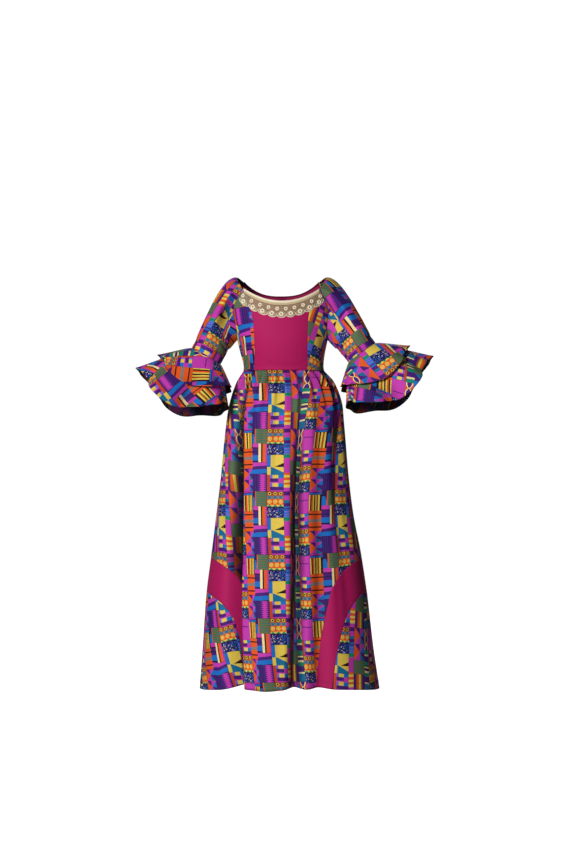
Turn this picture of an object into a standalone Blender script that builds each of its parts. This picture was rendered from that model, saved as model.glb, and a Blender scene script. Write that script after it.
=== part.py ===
"""A floor-length African print dress in its worn form, filled out with no wearer in it.

Every cut piece is a closed cloth wall of its own, 0.3 mm clear of the pieces it is sewn to.
Left is the dress's -X side as seen from its front, which faces -Y, and +Z is up. The origin lies
midway between the shoulder peaks, where a wearer's shoulders carry the dress.
"""

import math
from collections import namedtuple

import bmesh
import bpy
import numpy as np
from mathutils import Vector, geometry

# Cloth and seams
CLOTH = 0.0016  # wall of the printed and the plain cotton
SEAM = 0.0003  # gap between two pieces at a seam
WELD = 1e-6  # points nearer than this are one
SQUARENESS = 2.15  # 2 is an ellipse, and more is fuller at its corners

# Level lines
UNDERARM_Z = -0.215
WAIST_Z = -0.320
HEM_FRONT_Z = -1.371  # the hem hangs a little lower at the sides than at the front
HEM_SIDE_Z = -1.394
HEM_LIFT = 0.20  # how far the hem rises for each metre that a fold lies in

# Horizontal sections of the whole dress, from the hem up
Section = namedtuple("Section", "z centre half_width front back")
SECTIONS = (
    Section(-1.400, 0.0260, 0.3060, 0.240, 0.245),
    Section(-1.278, 0.0213, 0.2922, 0.231, 0.236),
    Section(-1.037, 0.0158, 0.2684, 0.212, 0.220),
    Section(-0.938, 0.0146, 0.2540, 0.203, 0.212),
    Section(-0.809, 0.0099, 0.2332, 0.191, 0.202),
    Section(-0.677, 0.0095, 0.2166, 0.180, 0.192),
    Section(-0.547, 0.0102, 0.2040, 0.168, 0.180),
    Section(-0.490, 0.0110, 0.1977, 0.160, 0.172),
    Section(-0.428, 0.0131, 0.1882, 0.148, 0.158),
    Section(-0.384, 0.0126, 0.1738, 0.134, 0.140),
    Section(-0.354, 0.0112, 0.1598, 0.121, 0.122),
    Section(-0.320, 0.0066, 0.1379, 0.106, 0.098),
    Section(-0.289, 0.0046, 0.1376, 0.114, 0.099),
    Section(-0.258, 0.0024, 0.1440, 0.122, 0.102),
    Section(-0.211, 0.0014, 0.1547, 0.129, 0.105),
    Section(-0.150, -0.0030, 0.1700, 0.125, 0.106),
    Section(-0.090, -0.0040, 0.1770, 0.110, 0.102),
    Section(-0.045, -0.0020, 0.1780, 0.097, 0.096),
    Section(0.010, -0.0020, 0.1760, 0.086, 0.088),
)

# Neckline: it rises from its lowest point, at the centre, by rise * |x| ** power
Neckline = namedtuple("Neckline", "lowest rise power")
FRONT_NECK = Neckline(-0.0885, 3.23, 2.08)
BACK_NECK = Neckline(-0.0582, 9.34, 2.60)
NOTCH = 0.0012  # each back panel stands off the centre back by this at the neck edge
NECK_BEND = 1.5  # power by which the bodice's rows bend to the neckline above the underarm

# Princess seams of the bodice front: how far each lies from x = 0
Princess = namedtuple("Princess", "z left right")
PRINCESS = (
    Princess(-0.320, 0.0928, 0.0862),
    Princess(-0.200, 0.0930, 0.0865),
    Princess(-0.140, 0.0990, 0.0895),
    Princess(-0.110, 0.1075, 0.0945),
    Princess(-0.060, 0.1120, 0.0985),
)

# Raglan seams: the share of the section's half width that they lie at
Raglan = namedtuple("Raglan", "front_z front_share back_z back_share")
RAGLAN = (
    Raglan(-0.2150, 1.000, -0.2150, 1.000),
    Raglan(-0.2040, 0.972, -0.2040, 0.972),
    Raglan(-0.1770, 0.934, -0.1740, 0.930),
    Raglan(-0.1500, 0.926, -0.1420, 0.920),
    Raglan(-0.1240, 0.920, -0.1100, 0.905),
    Raglan(-0.1020, 0.890, -0.0780, 0.868),
    Raglan(-0.0780, 0.826, -0.0460, 0.812),
    Raglan(-0.0460, 0.728, -0.0120, 0.735),
)
SHOULDER_ARCH = 0.026  # rise of the neck edge over the shoulder
SHOULDER_REACH = 0.021  # and how far it bows out there

# Skirt folds: an angle round the dress in degrees, at the waist, at mid and at the hem, the
# depth there in metres (a ridge has a negative one), and the spread on each side in degrees
Fold = namedtuple("Fold", "waist mid hem waist_depth mid_depth hem_depth before after")
MID_SKIRT = 0.30
FOLDS = (
    Fold(-54, -45, -34.0, 0.010, 0.040, 0.058, 8.0, 4.5),
    Fold(-33, -24, -13, -0.002, -0.008, -0.016, 8.0, 8.0),
    Fold(17, 12.5, 3.5, 0.006, 0.018, 0.030, 3.6, 4.6),
    Fold(44, 33, 18.5, 0.004, 0.009, 0.026, 6.0, 6.5),
    Fold(70, 54, 44, 0.012, 0.012, 0.000, 6.0, 6.0),
    Fold(-112, -113, -115, 0.006, 0.018, 0.034, 7.0, 7.0),
    Fold(-142, -144, -148, 0.008, 0.028, 0.044, 6.0, 7.0),
    Fold(146, 150, 155, 0.008, 0.024, 0.040, 7.0, 6.0),
    Fold(112, 116, 119, 0.006, 0.022, 0.036, 7.0, 7.0),
)
GATHERS = 26  # all round the waist
GATHER_DEPTH = 0.0042
GATHER_START = 0.012  # share of the skirt's length over which they open below the waist seam
GATHER_RUN = 0.17  # and over which they die away
GATHER_DRIFT = 0.8  # radians by which their spacing drifts, three times round

# Plain bands of the skirt: the upper and the lower edge, as angle and share of the length
BandPoint = namedtuple("BandPoint", "share left right")
BAND_UPPER = (
    BandPoint(0.580, -90.0, 90.0),
    BandPoint(0.588, -77.0, 77.0),
    BandPoint(0.600, -62.5, 62.7),
    BandPoint(0.620, -50.5, 51.6),
    BandPoint(0.645, -44.6, 42.0),
    BandPoint(0.670, -41.9, 35.6),
    BandPoint(0.700, -40.0, 31.5),
    BandPoint(0.740, -38.6, 28.6),
    BandPoint(0.80, -37.0, 25.1),
    BandPoint(0.90, -33.5, 20.5),
    BandPoint(1.0, -30.0, 16.5),
)
BAND_LOWER = (
    BandPoint(0.690, -90.0, 90.0),
    BandPoint(0.702, -71.0, 67.0),
    BandPoint(0.722, -55.0, 56.5),
    BandPoint(0.750, -47.0, 49.0),
    BandPoint(0.785, -43.0, 42.3),
    BandPoint(0.820, -41.2, 38.2),
    BandPoint(0.860, -39.3, 34.5),
    BandPoint(0.91, -37.8, 31.0),
    BandPoint(1.0, -35.5, 26.5),
)
BAND_UPPER_STEPS = (0.586, 0.598, 0.620, 0.650)  # shares with a row of their own, near the side seam
BAND_LOWER_STEPS = (0.698, 0.712, 0.730, 0.750, 0.775)
BAND_WIDTH_STEPS = 3
CORNER_TIP = 1.5  # degrees: the corner piece starts this wide, at the side seam

# Arms: the elbow seam's centre, and the arm's tilt from vertical in degrees
Arm = namedtuple("Arm", "side x z tilt")
ARMS = (Arm("left", -0.2560, -0.2749, 29.0), Arm("right", 0.2706, -0.2638, 36.0))
ELBOW_Y = -0.076
ARM_LEAN = 0.05  # how far the arm comes forward for each metre along it
ELBOW_RADIUS = 0.056

# The sleeve's slope where it leaves the armhole: (out, back, up) at the underarm and at the
# shoulder, the power that spreads the shoulder's slope round the armhole, and at the elbow
SLEEVE_HANGING = (0.10, -0.02, -0.12)
SLEEVE_REACHING = (0.17, -0.01, 0.045)
SLEEVE_SPREAD = 1.4
SLEEVE_ARRIVING = 0.16
SEAM_OUTWARD = 0.08  # turns the gap at the armhole seam outwards

# Flounces, in the arm's own directions. The rim's radius and its distance along the arm are
# mean + twice * cos(2a) + once * cos(a), with a = 0 on the outer side of the arm
Flounce = namedtuple("Flounce", "tier start lift radius radius_twice radius_once fall fall_twice fall_once")
FLOUNCES = (
    Flounce("upper", 0.0022, -0.0020, 0.1275, 0.0060, 0.0045, 0.092, -0.029, 0.0095),
    Flounce("lower", 0.0, 0.0006, 0.1450, 0.0165, 0.0125, 0.166, -0.040, 0.0205),
)
FLOUNCE_BACK_DROP = 0.002  # the back of each rim hangs lower than its front by twice this
FLOUNCE_INNER_DROP, INNER_DROP_POWER = 0.036, 3  # and lower still towards the body, where it opens
FLARE_CURVE = 0.88  # power of the flare along the arm: under 1 it opens at once
FLOUNCE_WAVES = 5
WAVE_TURN = 0.9  # radians from the outer side of the arm to the first wave
WAVE_SIZE, WAVE_POWER = 0.24, 1.5  # wave depth is size * (distance along the arm) ** power

# Lace collar, in metres across (x) and down from the neck edge
LACE = 0.0010
LACE_TOP_LEFT, LACE_TOP_RIGHT = -0.1285, 0.1255
LACE_END_LEFT, LACE_END_RIGHT = -0.1425, 0.1400
RingRow = namedtuple("RingRow", "count pitch centre drop hole crest outer raise_")
LACE_RINGS = (
    RingRow(9, 0.0316, -0.0018, 0.0452, 0.0030, 0.0056, 0.0082, 0.0014),
    RingRow(10, 0.0287, -0.0009, 0.0275, 0.0023, 0.0046, 0.0068, 0.0012),
)
SCALLOP_TOP, SCALLOP_DEPTH, SCALLOP_FULLNESS = 0.0455, 0.0125, 0.8
SATIN_BAND = 0.015
SATIN_RAISE = 0.0007
LACE_CLEAR = 0.0004  # between the bodice and the collar that is sewn over it

# Zip at the centre back
SLIDER_DROP = 0.016  # the slider's middle below the back neck edge
SLIDER_CLEAR = 0.0008
SLIDER_SIZE = (0.0060, 0.0020, 0.0100)
BAR_RADIUS, EYE_RADIUS, KNUCKLE_RADIUS = 0.0006, 0.0009, 0.0016
EAR_THICKNESS, EAR_HEIGHT = 0.0016, 0.0030
PULL_LENGTH, PULL_HALF_WIDTH = 0.020, 0.0017

# Resolution
SKIRT_SHARES = (0, 0.02, 0.06, 0.12, 0.20, 0.31, 0.45, 0.58, 0.69, 0.80, 0.90, 1)
SKIRT_HALF_COLUMNS = 50
SIDE_ROWS = 5
RAGLAN_ROWS = 8
CENTRE_COLUMNS, SIDE_COLUMNS, BACK_COLUMNS = 14, 5, 11
NECK_STEPS = 10
SLEEVE_ROWS = 7
FLOUNCE_COLUMNS, FLOUNCE_ROWS = 34, 4
FLOUNCE_BUNCHING = 1.25  # power that draws the flounce's rows towards the elbow seam
LACE_COLUMNS, SCALLOP_SIDES = 30, 6
CIRCLE = 6
KNUCKLE_SIDES = 12

PRINT_COLOUR, PLAIN_COLOUR = (0.10, 0.04, 0.20, 1), (0.39, 0.006, 0.095, 1)
LACE_COLOUR, METAL_COLOUR = (0.60, 0.48, 0.34, 1), (0.55, 0.30, 0.36, 1)


def through(knots, values, at):
    """The value at `at` of a smooth curve through the knots, which ascend."""
    knots, values = np.asarray(knots, float), np.asarray(values, float)
    slopes = np.gradient(values, knots)
    at = np.clip(at, knots[0], knots[-1])
    i = np.clip(np.searchsorted(knots, at) - 1, 0, len(knots) - 2)
    step = knots[i + 1] - knots[i]
    s = (at - knots[i]) / step
    rise = s * s * (3 - 2 * s)
    bend = slopes[i] * s * (1 - s) ** 2 - slopes[i + 1] * s * s * (1 - s)
    return values[i] + (values[i + 1] - values[i]) * rise + bend * step


def column(rows, name):
    return [getattr(row, name) for row in rows]


def section_at(name, z):
    return through(column(SECTIONS, "z"), column(SECTIONS, name), z)


def unit(vectors):
    return vectors / np.linalg.norm(vectors, axis=-1, keepdims=True)


# The dress's main surface


def dress_point(angle, z, push=0.0):
    """The point at an angle round the dress (0 at the front, +90 degrees at +X) and a height."""
    angle, z = np.broadcast_arrays(np.asarray(angle, float), np.asarray(z, float))
    sine, cosine = np.sin(angle), np.cos(angle)
    depth = np.where(cosine > 0, section_at("front", z), section_at("back", z))
    power = 2 / SQUARENESS
    x = section_at("centre", z) + section_at("half_width", z) * np.sign(sine) * np.abs(sine) ** power
    y = -depth * np.sign(cosine) * np.abs(cosine) ** power
    return np.stack([x + push * sine, y - push * cosine, z + 0 * x], axis=-1)


def angle_of(x, z, back=False):
    """The angle round the dress at which the surface lies at x."""
    share = (x - section_at("centre", z)) / section_at("half_width", z)
    share = np.clip(share, -1, 1)
    angle = np.sign(share) * np.arcsin(np.abs(share) ** (SQUARENESS / 2))
    return np.sign(share) * math.pi - angle if back else angle


def fold_push(angle, share):
    """How far folds and gathers move the skirt out, at an angle and a share of its length."""
    degrees = np.degrees(angle)
    knots = (0, MID_SKIRT, 1)
    push = np.zeros(np.broadcast(angle, share).shape)
    for fold in FOLDS:
        middle = through(knots, (fold.waist, fold.mid, fold.hem), share)
        depth = through(knots, (fold.waist_depth, fold.mid_depth, fold.hem_depth), share)
        off = degrees - middle
        spread = np.where(off < 0, fold.before, fold.after)
        push = push - depth * np.exp(-((off / spread) ** 2))
    opened = 1 - np.exp(-share / GATHER_START)
    size = GATHER_DEPTH * opened * np.exp(-share / GATHER_RUN)
    return push + size * np.cos(GATHERS * angle + GATHER_DRIFT * np.sin(3 * angle))


def skirt_point(angle, share):
    side = np.abs(np.sin(angle)) ** 3
    push = fold_push(angle, share)
    hem = HEM_FRONT_Z + (HEM_SIDE_Z - HEM_FRONT_Z) * side - HEM_LIFT * push
    return dress_point(angle, WAIST_Z + share * (hem - WAIST_Z), push)


def normals_on(surface, u, v):
    """Outward normals of a surface of the dress at u, v."""
    du, dv = 1e-4, 1e-5
    across = surface(u + du, v) - surface(u - du, v)
    down = surface(u, v + dv) - surface(u, v - dv)
    normals = unit(np.cross(across, down))
    points = surface(u, v)
    outward = normals[..., 0] * points[..., 0] + normals[..., 1] * points[..., 1]
    return normals * np.where(outward < 0, -1, 1)[..., None]


# Walls


def panel(surface, left, right, columns):
    """Points and normals of a grid whose rows run from left to right, lists of (u, v)."""
    left, right = np.asarray(left, float), np.asarray(right, float)
    across = np.linspace(0, 1, columns + 1)[None, :, None]
    places = left[:, None] + (right - left)[:, None] * across
    u, v = places[..., 0], places[..., 1]
    return surface(u, v), normals_on(surface, u, v)


def trimmed_panel(surface, left, right, columns):
    """As panel, but its columns keep the angles of the widest row, and the edges cut them off.

    Columns past an edge fold onto it. Their points coincide, and the wall is built without them.
    """
    u = np.linspace(left[:, 0].min(), right[:, 0].max(), columns + 1)[None, :]
    u = np.clip(u, left[:, :1], right[:, :1])
    v = left[:, 1:] + 0 * u
    return surface(u, v), normals_on(surface, u, v)


def edge_view(grid, side):
    """The grid turned so that its first row is the named edge. It shares the grid's memory."""
    turned = grid if side in ("first", "last") else grid.swapaxes(0, 1)
    return turned if side in ("first", "left") else turned[::-1]


def inset(points, normals, sides):
    """Draws the named edges in by half a seam's gap, along the surface."""
    moved = points.copy()
    for side in sides:
        turned, shifted = edge_view(points, side), edge_view(moved, side)
        edge, inner = turned[0], turned[len(turned) // 2]
        inward = np.cross(edge_view(normals, side)[0], np.gradient(edge, axis=0))
        facing = np.sum(inward * (inner - edge), axis=-1, keepdims=True)
        shift = unit(inward) * np.sign(facing) * SEAM / 2
        folded = np.linalg.norm(turned - edge, axis=-1, keepdims=True) < WELD
        shifted += np.where(folded, shift, 0)
    return moved


def grid_normals(points, outward_from):
    """Normals of a ring-shaped grid (rows along it, columns round it), away from a centre line."""
    along = np.gradient(points, axis=0)
    around = np.roll(points, -1, axis=1) - np.roll(points, 1, axis=1)
    normals = unit(np.cross(along, around))
    away = np.sum(normals * (points - outward_from), axis=-1, keepdims=True)
    return normals * np.where(away.mean() < 0, -1, 1)


def corners_of(shape, points, flat):
    """New corners for a row's points. A point that lies on the one before it shares its corner."""
    corners = []
    for k, point in enumerate(points):
        repeats = k > 0 and np.linalg.norm(flat[k] - flat[k - 1]) < WELD
        corners.append(corners[-1] if repeats else shape.verts.new(point))
    return corners


def add_face(shape, corners):
    if len(set(corners)) == len(corners):
        shape.faces.new(corners)


def wall_between(outer, inner, ring):
    """A bmesh closed wall between two grids of points. A ring's last column meets its first."""
    shape = bmesh.new()
    skins = [[corners_of(shape, row, flat) for row, flat in zip(grid, outer)] for grid in (outer, inner)]
    rows, columns = outer.shape[:2]
    for top, skin in zip((True, False), skins):
        for i in range(rows - 1):
            for j in range(columns - (not ring)):
                k = (j + 1) % columns
                a, b, c, d = skin[i][j], skin[i + 1][j], skin[i + 1][k], skin[i][k]
                for corners in ((a, b, c), (a, c, d)):
                    add_face(shape, corners if top else corners[::-1])
    for i in (0, rows - 1):
        for j in range(columns - (not ring)):
            k = (j + 1) % columns
            add_face(shape, (skins[0][i][j], skins[0][i][k], skins[1][i][k], skins[1][i][j]))
    for j in () if ring else (0, columns - 1):
        for i in range(rows - 1):
            add_face(shape, (skins[0][i][j], skins[0][i + 1][j], skins[1][i + 1][j], skins[1][i][j]))
    return shape


def finish(name, shape, material):
    """Turns a bmesh into a named object with its faces out."""
    bmesh.ops.recalc_face_normals(shape, faces=shape.faces)
    mesh = bpy.data.meshes.new(name)
    shape.to_mesh(mesh)
    shape.free()
    mesh.shade_smooth()
    mesh.set_sharp_from_angle(angle=math.radians(40))
    mesh.materials.append(material)
    made = bpy.data.objects.new(name, mesh)
    bpy.context.scene.collection.objects.link(made)
    return made


def cloth(name, points, normals, material, ring=False):
    return finish(name, wall_between(points, points - CLOTH * normals, ring), material)


def cut_level(normals):
    """Normals whose first row, the one at the waist, is level, so that the wall's edge is too."""
    normals = normals.copy()
    normals[0, :, 2] = 0
    normals[0] = unit(normals[0])
    return normals


def make_material(name, colour, roughness, metallic=0.0):
    material = bpy.data.materials.new(name)
    material.use_nodes = True
    shader = material.node_tree.nodes["Principled BSDF"]
    shader.inputs["Base Color"].default_value = colour
    shader.inputs["Roughness"].default_value = roughness
    shader.inputs["Metallic"].default_value = metallic
    return material


# Bodice


def neck_height(neck, x):
    return neck.lowest + neck.rise * np.abs(x) ** neck.power


def raglan_places(sign, back):
    """(angle, z) down a raglan seam's points, from the underarm up to the neck edge."""
    facing = "back" if back else "front"
    steps = np.linspace(0, 1, RAGLAN_ROWS + 1)
    knots = np.linspace(0, 1, len(RAGLAN))
    z = through(knots, column(RAGLAN, facing + "_z"), steps)
    share = np.clip(through(knots, column(RAGLAN, facing + "_share"), steps), 0, 1)
    angle = np.arcsin(share ** (SQUARENESS / 2))
    angle = math.pi - angle if back else angle
    return np.stack([sign * angle, z], axis=-1)


def side_places(sign):
    z = np.linspace(WAIST_Z, UNDERARM_Z, SIDE_ROWS + 1)
    return np.stack([0 * z + sign * math.pi / 2, z], axis=-1)


def outer_edge(sign, back):
    """(angle, z) up the side seam and on up the raglan seam."""
    return np.concatenate([side_places(sign), raglan_places(sign, back)[1:]])


def inner_edge(top_z):
    """Heights up a seam that meets the outer edge's rows, ending at top_z."""
    below = np.linspace(WAIST_Z, UNDERARM_Z, SIDE_ROWS + 1)
    above = np.linspace(UNDERARM_Z, top_z, RAGLAN_ROWS + 1)
    return np.concatenate([below, above[1:]])


def princess_places(sign):
    side = "left" if sign < 0 else "right"
    knots, values = column(PRINCESS, "z"), column(PRINCESS, side)
    top_z = neck_height(FRONT_NECK, values[-1])
    z = inner_edge(top_z)
    return np.stack([angle_of(sign * through(knots, values, z), z), z], axis=-1)


def waist_inset(edge):
    """The bodice stops half a seam above the waist line, and the skirt half a seam below."""
    edge = edge.copy()
    edge[0, 1] += SEAM / 2
    return edge


def bent_panel(left, right, neck, columns):
    """A panel whose rows bend with the neckline: straight at the underarm, along it at the top."""
    across = np.linspace(0, 1, columns + 1)[None, :]
    angle = left[:, :1] + (right[:, :1] - left[:, :1]) * across
    z = left[:, 1:] + (right[:, 1:] - left[:, 1:]) * across
    bend = np.clip((z[:, :1] - UNDERARM_Z) / (z[-1, 0] - UNDERARM_Z), 0, 1) ** NECK_BEND
    chord = z[-1]
    x = dress_point(angle[-1], chord)[:, 0]
    rise = neck_height(neck, x) - chord
    rise = rise - (rise[0] + (rise[-1] - rise[0]) * across[0])
    z = z + bend * rise[None, :]
    return dress_point(angle, z), normals_on(dress_point, angle, z)


def build_bodice(prints, plain):
    for sign, side in ((-1, "left"), (1, "right")):
        outer, princess = waist_inset(outer_edge(sign, False)), waist_inset(princess_places(sign))
        ends = (outer, princess) if sign < 0 else (princess, outer)
        points, normals = panel(dress_point, *ends, SIDE_COLUMNS)
        points = inset(points, normals, ("left", "right"))
        cloth(f"bodice_front_side_{side}", points, cut_level(normals), prints)
        outer = waist_inset(outer_edge(sign, True))
        z = inner_edge(BACK_NECK.lowest)
        centre = waist_inset(np.stack([0 * z + sign * math.pi, z], axis=-1))
        points, normals = bent_panel(outer, centre, BACK_NECK, BACK_COLUMNS)
        points = inset(points, normals, ("left", "right"))
        points[-1, -1, 0] += sign * NOTCH
        cloth(f"bodice_back_{side}", points, cut_level(normals), prints)
    left, right = waist_inset(princess_places(-1)), waist_inset(princess_places(1))
    points, normals = bent_panel(left, right, FRONT_NECK, CENTRE_COLUMNS)
    points = inset(points, normals, ("left", "right"))
    cloth("bodice_front_centre", points, cut_level(normals), plain)


# Skirt


def band_edge(rows, side, shares):
    angles = through(column(rows, "share"), column(rows, side), shares)
    return np.stack([np.radians(angles), shares], axis=-1)


def skirt_rows():
    shares = np.array(SKIRT_SHARES, float)
    shares[0] = SEAM / 2 / (WAIST_Z - HEM_FRONT_Z)
    return shares


def build_skirt(prints, plain):
    shares = skirt_rows()
    top, low = BAND_UPPER[0].share, BAND_LOWER[0].share
    upper_shares = np.concatenate([[top], BAND_UPPER_STEPS, shares[shares > top]])
    lower_shares = np.concatenate([[low], BAND_LOWER_STEPS, shares[shares > low]])
    front_shares = np.unique(np.concatenate([shares, upper_shares]))
    edges = []
    for sign, side in ((-1, "left"), (1, "right")):
        seam_side = np.stack([0 * front_shares + sign * math.pi / 2, front_shares], axis=-1)
        seam_side[front_shares > top] = band_edge(BAND_UPPER, side, front_shares[front_shares > top])
        edges.append(seam_side)
        upper = band_edge(BAND_UPPER, side, upper_shares)
        lower = band_edge(BAND_LOWER, side, lower_shares)
        order = (lower, upper) if sign < 0 else (upper, lower)
        points, normals = panel(skirt_point, *order, BAND_WIDTH_STEPS)
        points = inset(points, normals, ("left", "right", "first"))
        cloth(f"skirt_band_{side}", points, normals, plain)
        build_corner(side, sign, lower_shares, prints)
        back = np.stack([0 * shares + sign * math.pi / 2, shares], axis=-1)
        centre = np.stack([0 * shares + sign * math.pi, shares], axis=-1)
        points, normals = panel(skirt_point, back, centre, SKIRT_HALF_COLUMNS // 2)
        points = inset(points, normals, ("left", "right"))
        cloth(f"skirt_back_{side}", points, cut_level(normals), prints)
    points, normals = trimmed_panel(skirt_point, *edges, SKIRT_HALF_COLUMNS)
    points = inset(points, normals, ("left", "right"))
    cloth("skirt_front", points, cut_level(normals), prints)


def build_corner(side, sign, shares, prints):
    """The printed corner under a band: a triangle with its tip on the side seam."""
    edge = band_edge(BAND_LOWER, side, shares)
    edge[0] += (edge[1] - edge[0]) * math.radians(CORNER_TIP) / abs(edge[1, 0] - edge[0, 0])
    seam_side = np.stack([0 * shares + sign * math.pi / 2, edge[:, 1]], axis=-1)
    order = (seam_side, edge) if sign < 0 else (edge, seam_side)
    points, normals = panel(skirt_point, *order, SKIRT_HALF_COLUMNS // 8)
    cloth(f"skirt_corner_{side}", inset(points, normals, ("left", "right")), normals, prints)


# Sleeves and flounces


def arm_directions(arm):
    """Unit vectors down the arm, out of it on its upper side, and out of it at its front."""
    out = -1 if arm.x < 0 else 1
    tilt = math.radians(arm.tilt)
    down = unit(np.array([out * math.sin(tilt), -ARM_LEAN, -math.cos(tilt)]))
    front = unit(np.array([0, -1, 0]) - down * np.dot(down, [0, -1, 0]))
    outer = np.cross(front, down) * out
    return down, outer, front


def arm_ring(arm, angle, radius, along):
    """Points round the arm's line at angles from its outer side, at a distance along it."""
    down, outer, front = arm_directions(arm)
    centre = np.array([arm.x, ELBOW_Y, arm.z])
    radius, along = np.asarray(radius)[..., None], np.asarray(along)[..., None]
    out = outer * np.cos(angle)[..., None] + front * np.sin(angle)[..., None]
    return centre + down * along + out * radius


def armhole(arm):
    """The sleeve's top edge: up the front seam, over the shoulder and down the back seam."""
    sign = -1 if arm.x < 0 else 1
    front = dress_point(*raglan_places(sign, False).T)
    back = dress_point(*raglan_places(sign, True).T)
    steps = np.linspace(0, 1, NECK_STEPS + 1)[1:-1, None]
    over = front[-1] + (back[-1] - front[-1]) * steps
    arch = np.sin(math.pi * steps)
    over = over + arch * np.array([sign * SHOULDER_REACH, 0, SHOULDER_ARCH])
    return np.concatenate([front, over, back[:0:-1]])


def build_sleeve(arm, prints):
    """A smooth tube from the armhole to the elbow, by a cubic with a set slope at each end."""
    sign = -1 if arm.x < 0 else 1
    start = armhole(arm)
    steps = np.linalg.norm(np.roll(start, -1, axis=0) - start, axis=1)
    turn = np.concatenate([[0], np.cumsum(steps)[:-1]]) / steps.sum()
    end = arm_ring(arm, math.pi - 2 * math.pi * turn, ELBOW_RADIUS, 0)
    over = np.sin(math.pi * turn)[:, None] ** SLEEVE_SPREAD
    hanging, reaching = np.array(SLEEVE_HANGING), np.array(SLEEVE_REACHING)
    leaving = (hanging + (reaching - hanging) * over) * (sign, 1, 1)
    arriving = arm_directions(arm)[0] * SLEEVE_ARRIVING
    start = start + unit(leaving + np.array([sign * SEAM_OUTWARD, 0, 0])) * SEAM
    s = np.linspace(0, 1, SLEEVE_ROWS + 1)[:, None, None]
    points = (1 + 2 * s) * (1 - s) ** 2 * start + s * s * (3 - 2 * s) * end
    points = points + s * (1 - s) ** 2 * leaving - s * s * (1 - s) * arriving
    normals = grid_normals(points, points.mean(axis=1, keepdims=True))
    cloth(f"sleeve_{arm.side}", points, normals, prints, ring=True)


def flounce_points(arm, flounce, angle, s):
    """Points of a flounce at angles round the arm and a share s of the way to its rim."""
    rim = flounce.radius + flounce.radius_twice * np.cos(2 * angle) + flounce.radius_once * np.cos(angle)
    fall = flounce.fall + flounce.fall_twice * np.cos(2 * angle) + flounce.fall_once * np.cos(angle)
    inner_share = ((1 - np.cos(angle)) / 2) ** INNER_DROP_POWER
    fall = fall - (FLOUNCE_BACK_DROP + FLOUNCE_INNER_DROP * inner_share) * np.sin(angle)
    along = flounce.lift + (fall - flounce.lift) * s
    start = ELBOW_RADIUS + flounce.start
    depth = WAVE_SIZE * np.maximum(along, 0) ** WAVE_POWER
    wave = depth * np.cos(FLOUNCE_WAVES * angle + WAVE_TURN)
    radius = start + (rim - start) * s**FLARE_CURVE + wave
    return arm_ring(arm, angle, radius, along)


def build_flounce(arm, flounce, prints):
    angle = np.linspace(0, 2 * math.pi, FLOUNCE_COLUMNS, endpoint=False)[None, :]
    s = (np.linspace(0, 1, FLOUNCE_ROWS + 1) ** FLOUNCE_BUNCHING)[:, None]
    points = flounce_points(arm, flounce, angle + 0 * s, s + 0 * angle)
    normals = grid_normals(points, points.mean(axis=1, keepdims=True))
    cloth(f"flounce_{flounce.tier}_{arm.side}", points, normals, prints, ring=True)


# Lace collar


def lace_place(x, drop):
    """The bodice front's point below the neck edge at x, and its normal."""
    z = neck_height(FRONT_NECK, x) - drop
    angle = angle_of(x, z)
    return dress_point(angle, z), normals_on(dress_point, angle, z)


def lace_outline():
    """Corners of the collar's outline, across and down: neck edge, then the scallops back."""
    row = LACE_RINGS[0]
    across = np.linspace(LACE_TOP_LEFT, LACE_TOP_RIGHT, LACE_COLUMNS)
    corners = [(x, 0.0) for x in across]
    ends = np.linspace(LACE_END_RIGHT, LACE_END_LEFT, row.count + 1)
    for right, left in zip(ends[:-1], ends[1:]):
        for turn in np.linspace(0, math.pi, SCALLOP_SIDES + 1)[:-1]:
            x = (right + left) / 2 + (right - left) / 2 * math.cos(turn)
            drop = SCALLOP_TOP + SCALLOP_DEPTH * math.sin(turn) ** SCALLOP_FULLNESS
            corners.append((x, drop))
    corners.append((LACE_END_LEFT, SCALLOP_TOP))
    return corners


def ring_centres(row):
    first = row.centre - row.pitch * (row.count - 1) / 2
    return [first + row.pitch * k for k in range(row.count)]


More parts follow.
